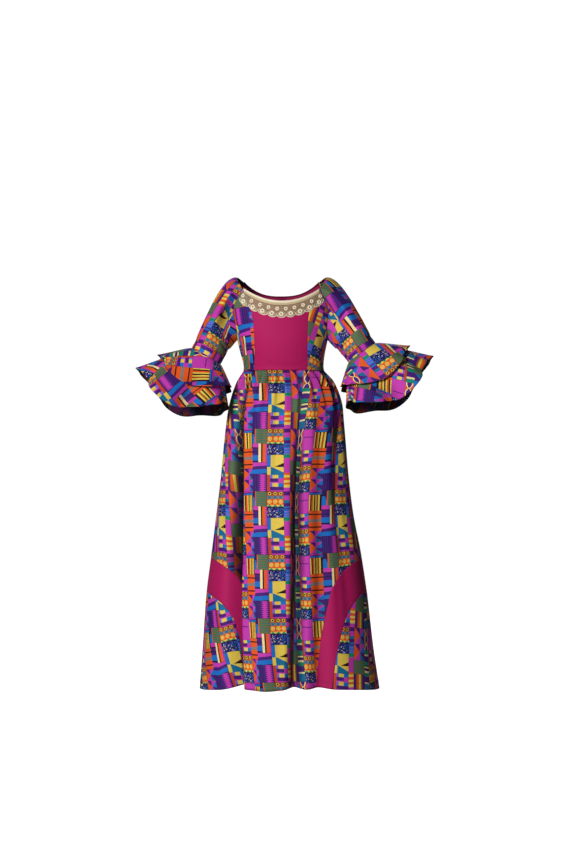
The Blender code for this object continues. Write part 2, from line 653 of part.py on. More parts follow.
def build_lace(material):
    """A thin closed wall over the bodice front, with raised rings and their holes cut through."""
    places, heights, loops = [], [], []

    def add_loop(corners, height, closed=True):
        first = len(places)
        places.extend(corners)
        heights.extend([height] * len(corners))
        count = len(corners)
        loops.extend((first + k, first + (k + 1) % count) for k in range(count - (not closed)))

    add_loop(lace_outline(), 0.0)
    holes = []
    for row in LACE_RINGS:
        for x in ring_centres(row):
            for radius, height in ((row.hole, row.raise_ / 2), (row.crest, row.raise_), (row.outer, 0.0)):
                turns = [2 * math.pi * (k + 0.5) / CIRCLE for k in range(CIRCLE)]
                add_loop([(x + radius * math.cos(t), row.drop + radius * math.sin(t)) for t in turns], height)
            holes.append((x, row.drop, row.hole))
    for drop, height in ((SATIN_BAND / 2, SATIN_RAISE), (SATIN_BAND, 0.0)):
        narrowing = drop / 4  # keeps the row clear of the collar's slanted ends
        across = np.linspace(LACE_TOP_LEFT + narrowing, LACE_TOP_RIGHT - narrowing, LACE_COLUMNS - 4)
        add_loop([(x, drop) for x in across], height, closed=False)
    flat = [Vector(place) for place in places]
    corners, _, faces, sources, _, _ = geometry.delaunay_2d_cdt(flat, loops, [], 1, 1e-7)
    middle = [sum((corners[i] for i in face), Vector((0, 0))) / 3 for face in faces]
    kept = [
        face
        for face, (x, drop) in zip(faces, middle)
        if all(math.hypot(x - hole[0], drop - hole[1]) > hole[2] * 0.98 for hole in holes)
    ]
    raised = np.array([heights[source[0]] if source else 0.0 for source in sources])
    x, drop = np.array([corner[:] for corner in corners]).T
    points, normals = lace_place(x, drop)
    under = points + normals * LACE_CLEAR
    over = under + normals * (LACE + raised)[:, None]
    shape = bmesh.new()
    skins = [[shape.verts.new(point) for point in skin] for skin in (over, under)]
    for a, b, c in kept:
        shape.faces.new((skins[0][a], skins[0][b], skins[0][c]))
        shape.faces.new((skins[1][c], skins[1][b], skins[1][a]))
    sides = {}
    for face in kept:
        for a, b in zip(face, face[1:] + face[:1]):
            sides[(a, b)] = sides.pop((b, a), None) is None
    for (a, b), lone in sides.items():
        if lone:
            shape.faces.new((skins[0][b], skins[0][a], skins[1][a], skins[1][b]))
    loose = [vert for vert in shape.verts if not vert.link_faces]
    bmesh.ops.delete(shape, geom=loose, context="VERTS")
    finish("lace_collar", shape, material)


# Zip


def extrude_profile(shape, faces, half_width, place):
    """Adds a solid of constant section: faces of (y, z) corners, extruded along X."""
    made = {}

    def corner(point, side):
        key = (round(point[0], 7), round(point[1], 7), side)
        if key not in made:
            made[key] = shape.verts.new(place + Vector((side * half_width, point[0], point[1])))
        return made[key]

    edges = {}
    for face in faces:
        for side in (-1, 1):
            ends = [corner(point, side) for point in face]
            shape.faces.new(ends if side > 0 else ends[::-1])
        for a, b in zip(face, face[1:] + face[:1]):
            key = tuple(sorted((tuple(round(v, 7) for v in a), tuple(round(v, 7) for v in b))))
            edges[key] = edges.get(key, 0) + 1
    for (a, b), uses in edges.items():
        if uses == 1:
            shape.faces.new((corner(a, -1), corner(b, -1), corner(b, 1), corner(a, 1)))


def circle(radius, sides, shift=0.0):
    """Corners (y, z) of a regular polygon, the first `shift` sides round from the lowest."""
    turns = [2 * math.pi * (k + shift) / sides - math.pi / 2 for k in range(sides)]
    return [(radius * math.cos(turn), radius * math.sin(turn)) for turn in turns]


def build_slider(metal, place):
    """The slider's body with two ears and the cross bar between them, made one solid."""
    width, thick, height = SLIDER_SIZE
    outer_y = -SEAM - KNUCKLE_RADIUS
    body = [(outer_y - thick, -height / 2), (outer_y, -height / 2)]
    body += [(y, -z) for y, z in reversed(body)]
    foot_y, top_y, half = outer_y - SEAM, BAR_RADIUS * 2, EAR_HEIGHT / 2
    ear = [(foot_y, -half), (top_y, -half * 0.75), (top_y, half * 0.75), (foot_y, half)]
    ear_x = PULL_HALF_WIDTH + SEAM + EAR_THICKNESS / 2
    shapes = [(body, width / 2, 0), (circle(BAR_RADIUS, CIRCLE), ear_x, 0)]
    shapes += [(ear, EAR_THICKNESS / 2, side * ear_x) for side in (-1, 1)]
    solids = []
    for k, (outline, half_width, shift) in enumerate(shapes):
        solid = bmesh.new()
        extrude_profile(solid, [outline], half_width, place + Vector((shift, 0, 0)))
        solids.append(finish(f"zip_slider_part_{k}", solid, metal))
    solids[0].name = "zip_slider"
    for other in solids[1:]:
        join = solids[0].modifiers.new("Join", "BOOLEAN")
        join.operation = "UNION"
        join.object = other
        other.hide_render = True
        other.display_type = "WIRE"


def build_pull(metal, place):
    """A flat tab that hangs from a knuckle, whose eye turns on the slider's bar."""
    knuckle, eye = (circle(radius, KNUCKLE_SIDES, 0.5) for radius in (KNUCKLE_RADIUS, EYE_RADIUS))
    faces = []
    for k in range(KNUCKLE_SIDES):
        n = (k + 1) % KNUCKLE_SIDES
        faces.append([knuckle[k], knuckle[n], eye[n], eye[k]])
    right, left = knuckle[0], knuckle[-1]
    faces.append([left, (left[0], -PULL_LENGTH), (right[0], -PULL_LENGTH), right])
    pull = bmesh.new()
    extrude_profile(pull, faces, PULL_HALF_WIDTH, Vector((0, 0, 0)))
    finish("zip_pull", pull, metal).location = place


def build_zip(metal):
    """A slider on the centre back seam, and the pull that hangs from its bar."""
    back = dress_point(math.pi, BACK_NECK.lowest - SLIDER_DROP)
    bar_stand = SLIDER_CLEAR + SLIDER_SIZE[1] + SEAM + KNUCKLE_RADIUS
    place = Vector(back.tolist()) + Vector((0, bar_stand, 0))
    build_slider(metal, place)
    build_pull(metal, place)


def main():
    for old in list(bpy.data.objects):
        bpy.data.objects.remove(old, do_unlink=True)
    prints = make_material("printed_cotton", PRINT_COLOUR, 0.75)
    plain = make_material("plain_cotton", PLAIN_COLOUR, 0.7)
    lace = make_material("lace", LACE_COLOUR, 0.8)
    metal = make_material("zip_metal", METAL_COLOUR, 0.35, 0.8)
    build_bodice(prints, plain)
    build_skirt(prints, plain)
    for arm in ARMS:
        build_sleeve(arm, prints)
        for flounce in FLOUNCES:
            build_flounce(arm, flounce, prints)
    build_lace(lace)
    build_zip(metal)


main()
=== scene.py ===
"""The looks of a floor-length African print dress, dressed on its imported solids."""

import math
from collections import namedtuple

import bmesh
import bpy
import numpy as np
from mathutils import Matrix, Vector


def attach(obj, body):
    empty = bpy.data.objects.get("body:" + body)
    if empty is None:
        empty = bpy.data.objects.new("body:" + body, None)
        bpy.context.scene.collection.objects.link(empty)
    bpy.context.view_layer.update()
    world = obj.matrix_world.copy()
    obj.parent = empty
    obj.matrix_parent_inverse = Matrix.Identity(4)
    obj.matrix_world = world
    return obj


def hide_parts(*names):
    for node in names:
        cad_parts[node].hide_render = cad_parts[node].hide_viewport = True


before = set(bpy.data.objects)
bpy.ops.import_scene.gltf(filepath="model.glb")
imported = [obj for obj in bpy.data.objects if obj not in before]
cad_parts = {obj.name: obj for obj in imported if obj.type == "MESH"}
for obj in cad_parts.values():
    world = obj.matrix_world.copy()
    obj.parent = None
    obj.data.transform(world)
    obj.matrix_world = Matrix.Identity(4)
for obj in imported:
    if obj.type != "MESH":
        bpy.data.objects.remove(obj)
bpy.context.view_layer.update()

# Studio
# A pale paper floor that sweeps up all round, one soft light high on the left and weaker ones low
# in front and behind. The camera stands 6 m before the dress, at the height of its hips.
scene = bpy.context.scene
camera_data = bpy.data.cameras.new("camera")
camera_data.sensor_fit = "VERTICAL"
camera_data.sensor_height = 24.0
VIEW_DISTANCE, VIEW_HEIGHT = 6.0, 2.9376
camera_data.lens = camera_data.sensor_height * VIEW_DISTANCE / VIEW_HEIGHT
camera = bpy.data.objects.new("camera", camera_data)
camera.location = (0.0204, -VIEW_DISTANCE, -0.527)
camera.rotation_euler = (math.radians(90), 0, 0)
scene.collection.objects.link(camera)
scene.camera = camera
scene.view_settings.view_transform = "Standard"

FLOOR_Z, SWEEP_WIDTH, SWEEP_RADIUS, SWEEP_TOP_Z = -1.50, 14.0, 3.0, 10.0
SWEEP_BENDS, SWEEP_SIDES = 12, 48
sweep = [(0.0, FLOOR_Z), (SWEEP_WIDTH - SWEEP_RADIUS, FLOOR_Z)]
for k in range(1, SWEEP_BENDS + 1):
    turn = math.radians(90) * k / SWEEP_BENDS
    out = SWEEP_WIDTH - SWEEP_RADIUS + SWEEP_RADIUS * math.sin(turn)
    sweep.append((out, FLOOR_Z + SWEEP_RADIUS * (1 - math.cos(turn))))
sweep.append((SWEEP_WIDTH, SWEEP_TOP_Z))
paper_shape = bmesh.new()
profile = [paper_shape.verts.new((0, -out, z)) for out, z in sweep]
for first, second in zip(profile, profile[1:]):
    paper_shape.edges.new((first, second))
bmesh.ops.spin(
    paper_shape, geom=paper_shape.edges[:], cent=(0, 0, 0), axis=(0, 0, 1), angle=2 * math.pi,
    steps=SWEEP_SIDES, use_merge=True,
)
bmesh.ops.remove_doubles(paper_shape, verts=paper_shape.verts[:], dist=0.001)
paper_mesh = bpy.data.meshes.new("studio_paper")
paper_shape.to_mesh(paper_mesh)
paper_shape.free()
paper_mesh.shade_smooth()
paper = bpy.data.objects.new("studio_paper", paper_mesh)
scene.collection.objects.link(paper)
paper_material = bpy.data.materials.new("studio_paper")
paper_material.use_nodes = True
paper_shader = paper_material.node_tree.nodes["Principled BSDF"]
paper_shader.inputs["Base Color"].default_value = (0.30, 0.30, 0.30, 1)
paper_shader.inputs["Roughness"].default_value = 0.9
paper_mesh.materials.append(paper_material)
glow = paper_material.node_tree.nodes.new("ShaderNodeLightPath")
glow_strength = paper_material.node_tree.nodes.new("ShaderNodeMath")
glow_strength.operation = "MULTIPLY"
glow_strength.inputs[1].default_value = 1.0
paper_material.node_tree.links.new(glow.outputs["Is Camera Ray"], glow_strength.inputs[0])
paper_material.node_tree.links.new(glow_strength.outputs[0], paper_shader.inputs["Emission Strength"])
paper_shader.inputs["Emission Color"].default_value = (1, 1, 1, 1)

world = bpy.data.worlds.new("studio_air")
world.use_nodes = True
world.node_tree.nodes["Background"].inputs["Color"].default_value = (1, 1, 1, 1)
world.node_tree.nodes["Background"].inputs["Strength"].default_value = 0.05
scene.world = world

SoftBox = namedtuple("SoftBox", "name place aim width power")
for box in (
    SoftBox("front_softbox", (-2.5, -5.0, 0.9), (0.0, 0.0, -0.7), 0.9, 318.0),
    SoftBox("low_softbox", (0.9, -5.6, -0.6), (0.0, 0.0, -0.7), 1.6, 22.0),
    SoftBox("back_softbox", (0.2, 3.0, 0.9), (0.0, 0.0, -0.7), 1.8, 60.0),
):
    light_data = bpy.data.lights.new(box.name, "AREA")
    light_data.shape = "SQUARE"
    light_data.size = box.width
    light_data.energy = box.power
    light = bpy.data.objects.new(box.name, light_data)
    light.location = box.place
    light.rotation_euler = (Vector(box.aim) - Vector(box.place)).to_track_quat("-Z", "Y").to_euler()
    scene.collection.objects.link(light)

# Printed cotton
# The main cloth is a crisp wax-print cotton, printed in narrow strips of small blocks in the
# kente manner: rings, checks, pinwheels, combs and plaids. The strips run along the grain, and
# the whole chart comes again every 308 mm across and every 208 mm down.
REPEAT = (0.308, 0.208)
STRIP_START = (-0.059, -0.002)  # where one repeat starts on the skirt, from its centre and waist


def ink(code):
    """An sRGB colour code as the linear colour that a shader takes."""
    shares = [((code >> shift) & 255) / 255 for shift in (16, 8, 0)]
    return (*(s / 12.92 if s < 0.04045 else ((s + 0.055) / 1.055) ** 2.4 for s in shares), 1)


PURPLE, PINK, BLUE, TEAL, ORANGE = (ink(code) for code in (0x4A1C78, 0xC83CB0, 0x1A70C6, 0x16709C, 0xE85A20))
YELLOW, GREEN, MOSS, DARK, CREAM = (ink(code) for code in (0xEBCB52, 0x108A70, 0x4A6E52, 0x2A0C10, 0xF8E0A0))
NAVY, LILAC, GREY, RED, BROWN = (ink(code) for code in (0x1C1C56, 0x7A6ADC, 0x8C7A74, 0xC8442A, 0xA8521C))


def feed(socket, value):
    """Links a reading or a socket to the socket, or sets a plain value on it."""
    value = getattr(value, "socket", value)
    if isinstance(value, bpy.types.NodeSocket):
        socket.id_data.links.new(value, socket)
    else:
        socket.default_value = value


def fill(made, fed):
    """Feeds a node's inputs, each given by its name or number."""
    for key, value in dict(fed).items():
        feed(made.inputs[key], value)
    return made


def node(tree, kind, fed=(), **settings):
    """A new node with its properties set and its inputs fed."""
    made = tree.nodes.new(kind)
    for key, value in settings.items():
        setattr(made, key, value)
    return fill(made, fed)


class Reading:
    """What a shader reads at each point of the cloth. It is reckoned with as a number is."""

    def __init__(self, socket):
        self.socket = socket

    def __add__(self, other):
        return reckon("ADD", self, other)

    def __sub__(self, other):
        return reckon("SUBTRACT", self, other)

    def __rsub__(self, other):
        return reckon("SUBTRACT", other, self)

    def __mul__(self, other):
        return reckon("MULTIPLY", self, other)

    def __truediv__(self, other):
        return reckon("DIVIDE", self, other)

    def __gt__(self, other):
        return reckon("GREATER_THAN", self, other)

    def __lt__(self, other):
        return reckon("LESS_THAN", self, other)

    def __abs__(self):
        return reckon("ABSOLUTE", self)


def tree_of(*values):
    return next(value.socket.id_data for value in values if isinstance(value, Reading))


def reckon(operation, *values):
    made = node(tree_of(*values), "ShaderNodeMath", enumerate(values), operation=operation)
    return Reading(made.outputs[0])


def part(value):
    """The value's part after the point, which starts again at each whole number."""
    return reckon("FRACT", value)


def stepped(value, count):
    return reckon("FLOOR", value * count) / count


def within(value, low, high):
    return (value > low) * (value < high)


def distance(across, down):
    return reckon("SQRT", across * across + down * down)


def mix(share, first, second):
    """The first colour where the share is 0 and the second where it is 1."""
    fed = {0: share, 6: first, 7: second}
    return Reading(node(tree_of(share), "ShaderNodeMix", fed, data_type="RGBA").outputs[2])


def bands(at, stops):
    """Flat bands of colour along a value, as (start, colour)."""
    made = node(tree_of(at), "ShaderNodeValToRGB", {0: at})
    ramp = made.color_ramp
    ramp.interpolation = "CONSTANT"
    while len(ramp.elements) < len(stops):
        ramp.elements.new(1.0)
    for element, (start, colour) in zip(ramp.elements, stops):
        element.position, element.color = start, colour
    return Reading(made.outputs[0])


def parts_of(colour):
    made = node(tree_of(colour), "ShaderNodeSeparateColor", {0: colour})
    return [Reading(socket) for socket in made.outputs]


# Each motif fills its block with colour. `a` runs across the block and `d` down it, from 0 to 1.
RING_CELL = (18.0, 52.0)  # a third of the block across and its length down, in millimetres
CENTIMETRE = 0.1  # per millimetre


def rings(a, d):
    """A row of dark-eyed rings, a row of small squares, a row of yellow rings and chevrons."""
    across = part(a * 3.0) - 0.5
    aside = abs(across)
    eyes = distance(across * RING_CELL[0], (d - 0.13) * RING_CELL[1]) * CENTIMETRE
    suns = distance(across * RING_CELL[0], (d - 0.64) * RING_CELL[1]) * CENTIMETRE
    colour = bands(eyes, [(0, DARK), (0.30, YELLOW), (0.50, BROWN)])
    colour = mix(within(d, 0.27, 0.47), colour, GREY)
    colour = mix((aside < 0.26) * within(d, 0.29, 0.45), colour, TEAL)
    colour = mix(d > 0.48, colour, bands(suns, [(0, CREAM), (0.20, ORANGE), (0.36, YELLOW), (0.68, ORANGE)]))
    chevrons = mix(aside < (d - 0.82) * 3.0, YELLOW, GREEN)
    colour = mix(d > 0.84, colour, chevrons)
    return mix(d > 0.96, colour, DARK)


def speckle(a, d):
    """A navy ground with small flecks, 17 across and 10 down."""
    place = node(tree_of(a), "ShaderNodeCombineXYZ", {0: a * 17.0, 1: d * 10.0}).outputs[0]
    cells = node(tree_of(a), "ShaderNodeTexVoronoi", {"Vector": place, "Scale": 1.0, "Randomness": 0.35})
    shade = parts_of(Reading(cells.outputs["Color"]))[0]
    flecks = bands(shade, [(0, NAVY), (0.42, BLUE), (0.58, NAVY), (0.72, LILAC), (0.88, CREAM)])
    return mix(Reading(cells.outputs["Distance"]) > 0.50, flecks, NAVY)


def hourglass(a, d):
    """A yellow and blue hourglass, with a black stepped corner and a bar on its left."""
    black = (d + stepped(a, 12.0) * 0.36 > 0.76) * (a > 0.42)
    upper = mix(black, YELLOW, DARK)
    lower = mix(a > (d - 0.62) * 2.6 + 0.30, TEAL, YELLOW)
    low = d > 0.62
    return mix(a < 0.23, mix(low, upper, lower), mix(low, BLUE, YELLOW))


def checks(a, d):
    """Yellow squares down a purple ground, lilac and blue blocks beside them, a red bar at the left."""
    row = part(d * 2.0)
    upper = row < 0.44
    left, middle = mix(upper, PURPLE, LILAC), mix(upper, PURPLE, YELLOW)
    right = mix(upper, mix(d > 0.5, PINK, PURPLE), BLUE)
    colour = mix(a > 0.68, mix(a > 0.34, left, middle), right)
    colour = mix(row > 0.86, colour, PINK)
    return mix(a < 0.20, colour, RED)


def pinwheels(a, d):
    """Two pinwheels, one over the other: eight stepped wedges round the middle of each."""
    turn = reckon("ARCTAN2", part(d * 2.0) - 0.5, stepped(a, 14.0) - 0.5)
    colours = (ORANGE, PURPLE, PINK, BLUE, PURPLE, TEAL, PINK, ORANGE)
    wedges = [(k / len(colours), colour) for k, colour in enumerate(colours)]
    return bands(turn / (2 * math.pi) + 0.5, wedges)


def plaid(a, d):
    """A green plaid crossed by thin rust lines."""
    colour = mix((part(a * 14.0) < 0.4) * 0.35, MOSS, GREEN)
    return mix(within(part(d * 6.0), 0.42, 0.60) * 0.75, colour, BROWN)


def edged_plaid(a, d):
    """The plaid with an orange border, beside a blue drop on a dark ground."""
    beside = mix((a - d * 0.30 < 0.08) * (d > 0.40), NAVY, BLUE)
    colour = mix(a < 0.36, plaid(a, d), ORANGE)
    return mix(a < 0.29, colour, beside)


def upright_bars(a, d):
    stops = [(0, PURPLE), (0.20, BROWN), (0.30, ORANGE), (0.46, YELLOW), (0.64, BROWN), (0.76, PURPLE)]
    return bands(a, stops)


def fine_bars(a, d):
    stops = [(0, YELLOW), (0.1, DARK), (0.2, ORANGE), (0.32, YELLOW), (0.42, DARK)]
    stops += [(0.52, YELLOW), (0.64, BROWN), (0.76, YELLOW), (0.88, DARK)]
    return bands(a, stops)


def embers(a, d):
    stops = [(0, ORANGE), (0.15, DARK), (0.21, ORANGE), (0.42, GREY), (0.57, ORANGE), (0.78, DARK)]
    return bands(d, stops + [(0.84, ORANGE)])


def lenses(a, d):
    """A chain of purple lenses with cream outlines on orange."""
    turn = part(d * 2.0 + 0.5) * 2.0 - 1.0
    half = (1.0 - turn * turn) * 0.30
    aside = abs(a - 0.55)
    ground = bands(a, [(0, ORANGE), (0.26, BROWN), (0.40, YELLOW), (0.70, BROWN), (0.82, ORANGE)])
    return mix(aside < half, mix(aside < half + 0.12, ground, CREAM), PURPLE)


def lined(a, d):
    """Plain pink with one thin dark line."""
    return mix(within(d, 0.36, 0.40) * within(a, 0.10, 0.90), PINK, PURPLE)


def comb(a, d):
    """Black bars on purple, then a pink comb with teeth on both sides."""
    ground = mix((part(a * 8.0) < 0.42) * (a < 0.5), PURPLE, NAVY)
    tooth = reckon("PINGPONG", d * 9.0, 0.5) * 0.30
    return mix(abs(a - 0.76) < tooth + 0.06, ground, PINK)


def flags(a, d):
    """Lying bars of pink, purple and blue, and upright ones of cream and orange at the right."""
    lying = [(0, PINK), (0.22, DARK), (0.27, PURPLE), (0.44, NAVY), (0.50, PURPLE), (0.64, BLUE)]
    upright = [(0, CREAM), (0.66, DARK), (0.74, ORANGE), (0.92, PINK)]
    return mix(a > 0.52, bands(d, lying + [(0.92, NAVY)]), bands(a, upright))


def wave(a, d):
    return bands(d * 0.86 + a * 0.14, [(0, PINK), (0.36, PURPLE), (0.60, BLUE), (0.93, NAVY)])


def slim_bands(a, d):
    """The narrow strip: lying bands of many colours, then pink, then orange with yellow bars."""
    stops = [(0, PURPLE), (0.061, PINK), (0.135, TEAL), (0.180, PURPLE), (0.235, BLUE), (0.262, PURPLE)]
    stops += [(0.285, BLUE), (0.310, LILAC), (0.332, BLUE), (0.352, LILAC), (0.374, BLUE), (0.390, LILAC)]
    stops += [(0.405, GREEN), (0.466, PINK), (0.703, ORANGE), (0.738, YELLOW), (0.776, ORANGE)]
    return bands(d, stops + [(0.820, YELLOW), (0.858, ORANGE), (0.888, YELLOW), (0.935, PINK)])


def ladder(a, d):
    """Lying bands of green and purple, parted by cream lines."""
    stops = [(0, GREEN), (0.095, CREAM), (0.140, PURPLE), (0.275, GREEN), (0.370, DARK), (0.392, CREAM)]
    stops += [(0.430, DARK), (0.450, PURPLE), (0.500, CREAM), (0.545, GREEN), (0.640, PURPLE)]
    return bands(d, stops + [(0.775, CREAM), (0.815, TEAL)])


MOTIFS = (rings, speckle, hourglass, checks, pinwheels, plaid, edged_plaid, upright_bars, fine_bars, embers)
MOTIFS += (lenses, lined, comb, flags, wave, slim_bands, ladder)
Strip = namedtuple("Strip", "width blocks")  # millimetres across; (length in mm, motif) down it
STRIPS = (
    Strip(55, ((52, rings), (34, speckle), (66, hourglass), (56, checks))),
    Strip(22, ((208, slim_bands),)),
    Strip(52, ((107, pinwheels), (45, plaid), (56, upright_bars))),
    Strip(26, ((70, lenses), (138, ladder))),
    Strip(43, ((4, speckle), (69, lined), (51, checks), (56, rings), (28, speckle))),
    Strip(50, ((13, wave), (53, fine_bars), (67, embers), (75, pinwheels))),
    Strip(60, ((49, edged_plaid), (63, flags), (39, wave), (57, comb))),
)
OUTLINE_MM = 1.1  # a dark line parts the blocks


def new_group(name, inputs, outputs):
    """A shader node group with the named sockets, given as (name, socket type)."""
    tree = bpy.data.node_groups.new(name, "ShaderNodeTree")
    for direction, sockets in (("INPUT", inputs), ("OUTPUT", outputs)):
        for label, kind in sockets:
            tree.interface.new_socket(label, in_out=direction, socket_type="NodeSocket" + kind)
    given = [Reading(socket) for socket in tree.nodes.new("NodeGroupInput").outputs]
    return tree, given, tree.nodes.new("NodeGroupOutput").inputs


def motif_group(motif):
    """The motif as a node group of its own, which is built once."""
    places = (("Across", "Float"), ("Down", "Float"))
    tree, given, made = new_group(motif.__name__, places, (("Color", "Color"),))
    feed(made[0], motif(given[0], given[1]))
    return tree


def starts(parts, codes, whole):
    """Stops for a ramp whose colours hold numbers: a part's start, its size and its code."""
    stops, start = [], 0.0
    for size, code in zip(parts, codes):
        stops.append((start / whole, (start / whole, size / whole, code, 1)))
        start += size
    return stops if len(stops) > 1 else stops + [(0.999, stops[0][1])]


def build_chart():
    """The whole chart as a group: it finds the strip and the block, then picks the block's motif."""
    tree, given, made = new_group("kente chart", (("Vector", "Vector"),), (("Color", "Color"),))
    place = node(tree, "ShaderNodeSeparateXYZ", {0: given[0]})
    across, down = (part((Reading(place.outputs[k]) - STRIP_START[k]) / REPEAT[k]) for k in (0, 1))
    width_mm, length_mm = REPEAT[0] * 1000, REPEAT[1] * 1000
    widths, codes = zip(*[(strip.width, k / len(STRIPS)) for k, strip in enumerate(STRIPS)])
    left, width, which = parts_of(bands(across, starts(widths, codes, width_mm)))
    block = None
    for k, strip in enumerate(STRIPS):
        codes = [MOTIFS.index(motif) / len(MOTIFS) for _, motif in strip.blocks]
        found = bands(down, starts([length for length, _ in strip.blocks], codes, length_mm))
        block = mix(which > (k - 0.5) / len(STRIPS), block, found) if block else found
    top, length, code = parts_of(block)
    across, down = (across - left) / width, (down - top) / length
    colour = PINK
    for k, motif in enumerate(MOTIFS):
        figure = node(tree, "ShaderNodeGroup", {0: across, 1: down}, node_tree=motif_group(motif))
        colour = mix(code > (k - 0.5) / len(MOTIFS), colour, figure.outputs[0])
    from_edges = across * (width * width_mm), down * (length * length_mm)
    feed(made[0], mix(reckon("MINIMUM", *from_edges) < OUTLINE_MM, colour, DARK))
    return tree


def build_weave():
    """Plain weave: over-and-under threads as a height, and a slight unevenness of the yarn."""
    tree, given, made = new_group(
        "plain weave",
        (("Vector", "Vector"), ("Threads per metre", "Float")),
        (("Height", "Float"), ("Unevenness", "Float")),
    )
    scaled = node(tree, "ShaderNodeVectorMath", {0: given[0], "Scale": given[1]}, operation="SCALE")
    place = node(tree, "ShaderNodeSeparateXYZ", {0: scaled.outputs[0]})
    warp, weft = (reckon("SINE", Reading(place.outputs[k]) * math.pi) for k in (0, 1))
    feed(made[0], warp * weft * 0.5 + 0.5)
    yarn = node(tree, "ShaderNodeTexNoise", {"Vector": given[0], "Scale": 90.0, "Detail": 3.0})
    feed(made[1], yarn.outputs[0])
    return tree


chart, weave = build_chart(), build_weave()
THREADS_PER_METRE = 2200.0
# Painted shade: the cloth is darkened in its folds, where shade falls.
FOLD_SHADE_REACH, FOLD_SHADE_POWER = 0.07, 3.4  # how far off a fold darkens the cloth, in metres, and how strongly


def cotton(name, dyed, depth=1.0, printed=True):
    """A cotton finish: the chart or one dye, a woven face and a soft sheen. `depth` darkens the whole
    colour; on the insides it is painted shade.
    """
    material = bpy.data.materials.new(name)
    material.use_nodes = True
    tree = material.node_tree
    cut = node(tree, "ShaderNodeUVMap", uv_map="cut").outputs[0]
    if printed:
        dyed = node(tree, "ShaderNodeGroup", {0: cut}, node_tree=chart).outputs[0]
    threads = {0: cut, "Threads per metre": THREADS_PER_METRE}
    cloth = node(tree, "ShaderNodeGroup", threads, node_tree=weave)
    height, unevenness = cloth.outputs[0], Reading(cloth.outputs[1])
    # Painted shade: ambient occlusion darkens the cloth in its folds and hollows, where shade falls.
    fold_shade = node(tree, "ShaderNodeAmbientOcclusion", {"Distance": FOLD_SHADE_REACH}, only_local=True, samples=6)
    unshaded_share = reckon("POWER", Reading(fold_shade.outputs["AO"]), FOLD_SHADE_POWER)
    value = (unevenness * (0.16 * depth) + 0.92 * depth) * unshaded_share
    shade = node(tree, "ShaderNodeHueSaturation", {"Value": value, "Color": dyed})
    raised = node(tree, "ShaderNodeBump", {"Strength": 0.25, "Distance": 0.0002, "Height": height})
    finish = {
        "Base Color": shade.outputs[0],
        "Roughness": unevenness * 0.15 + 0.62,
        "Sheen Weight": 0.03,
        "Sheen Roughness": 0.4,
        "Specular IOR Level": 0.16,
        "Normal": raised.outputs[0],
    }
    fill(tree.nodes["Principled BSDF"], finish)
    return material


printed_cotton = cotton("printed_cotton", None, depth=0.86)
# Darker copies of the print for the inside of the cloth: painted shade. The flounces' underside is painted
# darkest.
printed_shaded_inside = cotton("printed_cotton_shaded_inside", None, depth=0.38)
shaded_inside = cotton("printed_cotton_shaded_underside", None, depth=0.10)

# Skirt front and backs
# Three printed widths, gathered into the waist seam and falling in long soft folds to the hem.
# The front is cut away at both lower sides for the plain bands. Left is the -X side.
Section = namedtuple("Section", "z centre half_width front back")
SECTIONS = (
    Section(-1.400, 0.0260, 0.3060, 0.240, 0.245),
    Section(-1.278, 0.0213, 0.2922, 0.231, 0.236),
    Section(-1.037, 0.0158, 0.2684, 0.212, 0.220),
    Section(-0.938, 0.0146, 0.2540, 0.203, 0.212),
    Section(-0.809, 0.0099, 0.2332, 0.191, 0.202),
    Section(-0.677, 0.0095, 0.2166, 0.180, 0.192),
    Section(-0.547, 0.0102, 0.2040, 0.168, 0.180),
    Section(-0.490, 0.0110, 0.1977, 0.160, 0.172),
    Section(-0.428, 0.0131, 0.1882, 0.148, 0.158),
    Section(-0.384, 0.0126, 0.1738, 0.134, 0.140),
    Section(-0.354, 0.0112, 0.1598, 0.121, 0.122),
    Section(-0.320, 0.0066, 0.1379, 0.106, 0.098),
    Section(-0.289, 0.0046, 0.1376, 0.114, 0.099),
    Section(-0.258, 0.0024, 0.1440, 0.122, 0.102),
    Section(-0.211, 0.0014, 0.1547, 0.129, 0.105),
    Section(-0.150, -0.0030, 0.1700, 0.125, 0.106),
    Section(-0.090, -0.0040, 0.1770, 0.110, 0.102),
    Section(-0.045, -0.0020, 0.1780, 0.097, 0.096),
    Section(0.010, -0.0020, 0.1760, 0.086, 0.088),
)
SQUARENESS = 2.15
WAIST_Z, HEM_FRONT_Z, HEM_SIDE_Z, HEM_LIFT = -0.320, -1.371, -1.394, 0.20
FOLD_SHARES = (0, 0.30, 1)  # of the skirt's length: the waist, the middle and the hem in these tables
# A long fold: its angle round the dress at the waist, middle and hem in degrees, its depth
# there in metres (a ridge is negative), and its spread on each side in degrees
Fold = namedtuple("Fold", "waist mid hem waist_depth mid_depth hem_depth before after")
FOLDS = (
    Fold(-54, -45, -34.0, 0.012, 0.044, 0.062, 7.0, 4.0),
    Fold(-33, -24, -13, -0.002, -0.008, -0.016, 8.0, 8.0),
    Fold(16, 11, 2.5, 0.006, 0.022, 0.032, 3.4, 4.4),
    Fold(44, 33, 18.5, 0.004, 0.009, 0.026, 6.0, 6.5),
    Fold(70, 54, 44, 0.012, 0.012, 0.000, 6.0, 6.0),
    Fold(-112, -113, -115, 0.006, 0.018, 0.034, 7.0, 7.0),
    Fold(-142, -144, -148, 0.008, 0.028, 0.044, 6.0, 7.0),
    Fold(146, 150, 155, 0.008, 0.024, 0.040, 7.0, 6.0),
    Fold(112, 116, 119, 0.006, 0.022, 0.036, 7.0, 7.0),
)
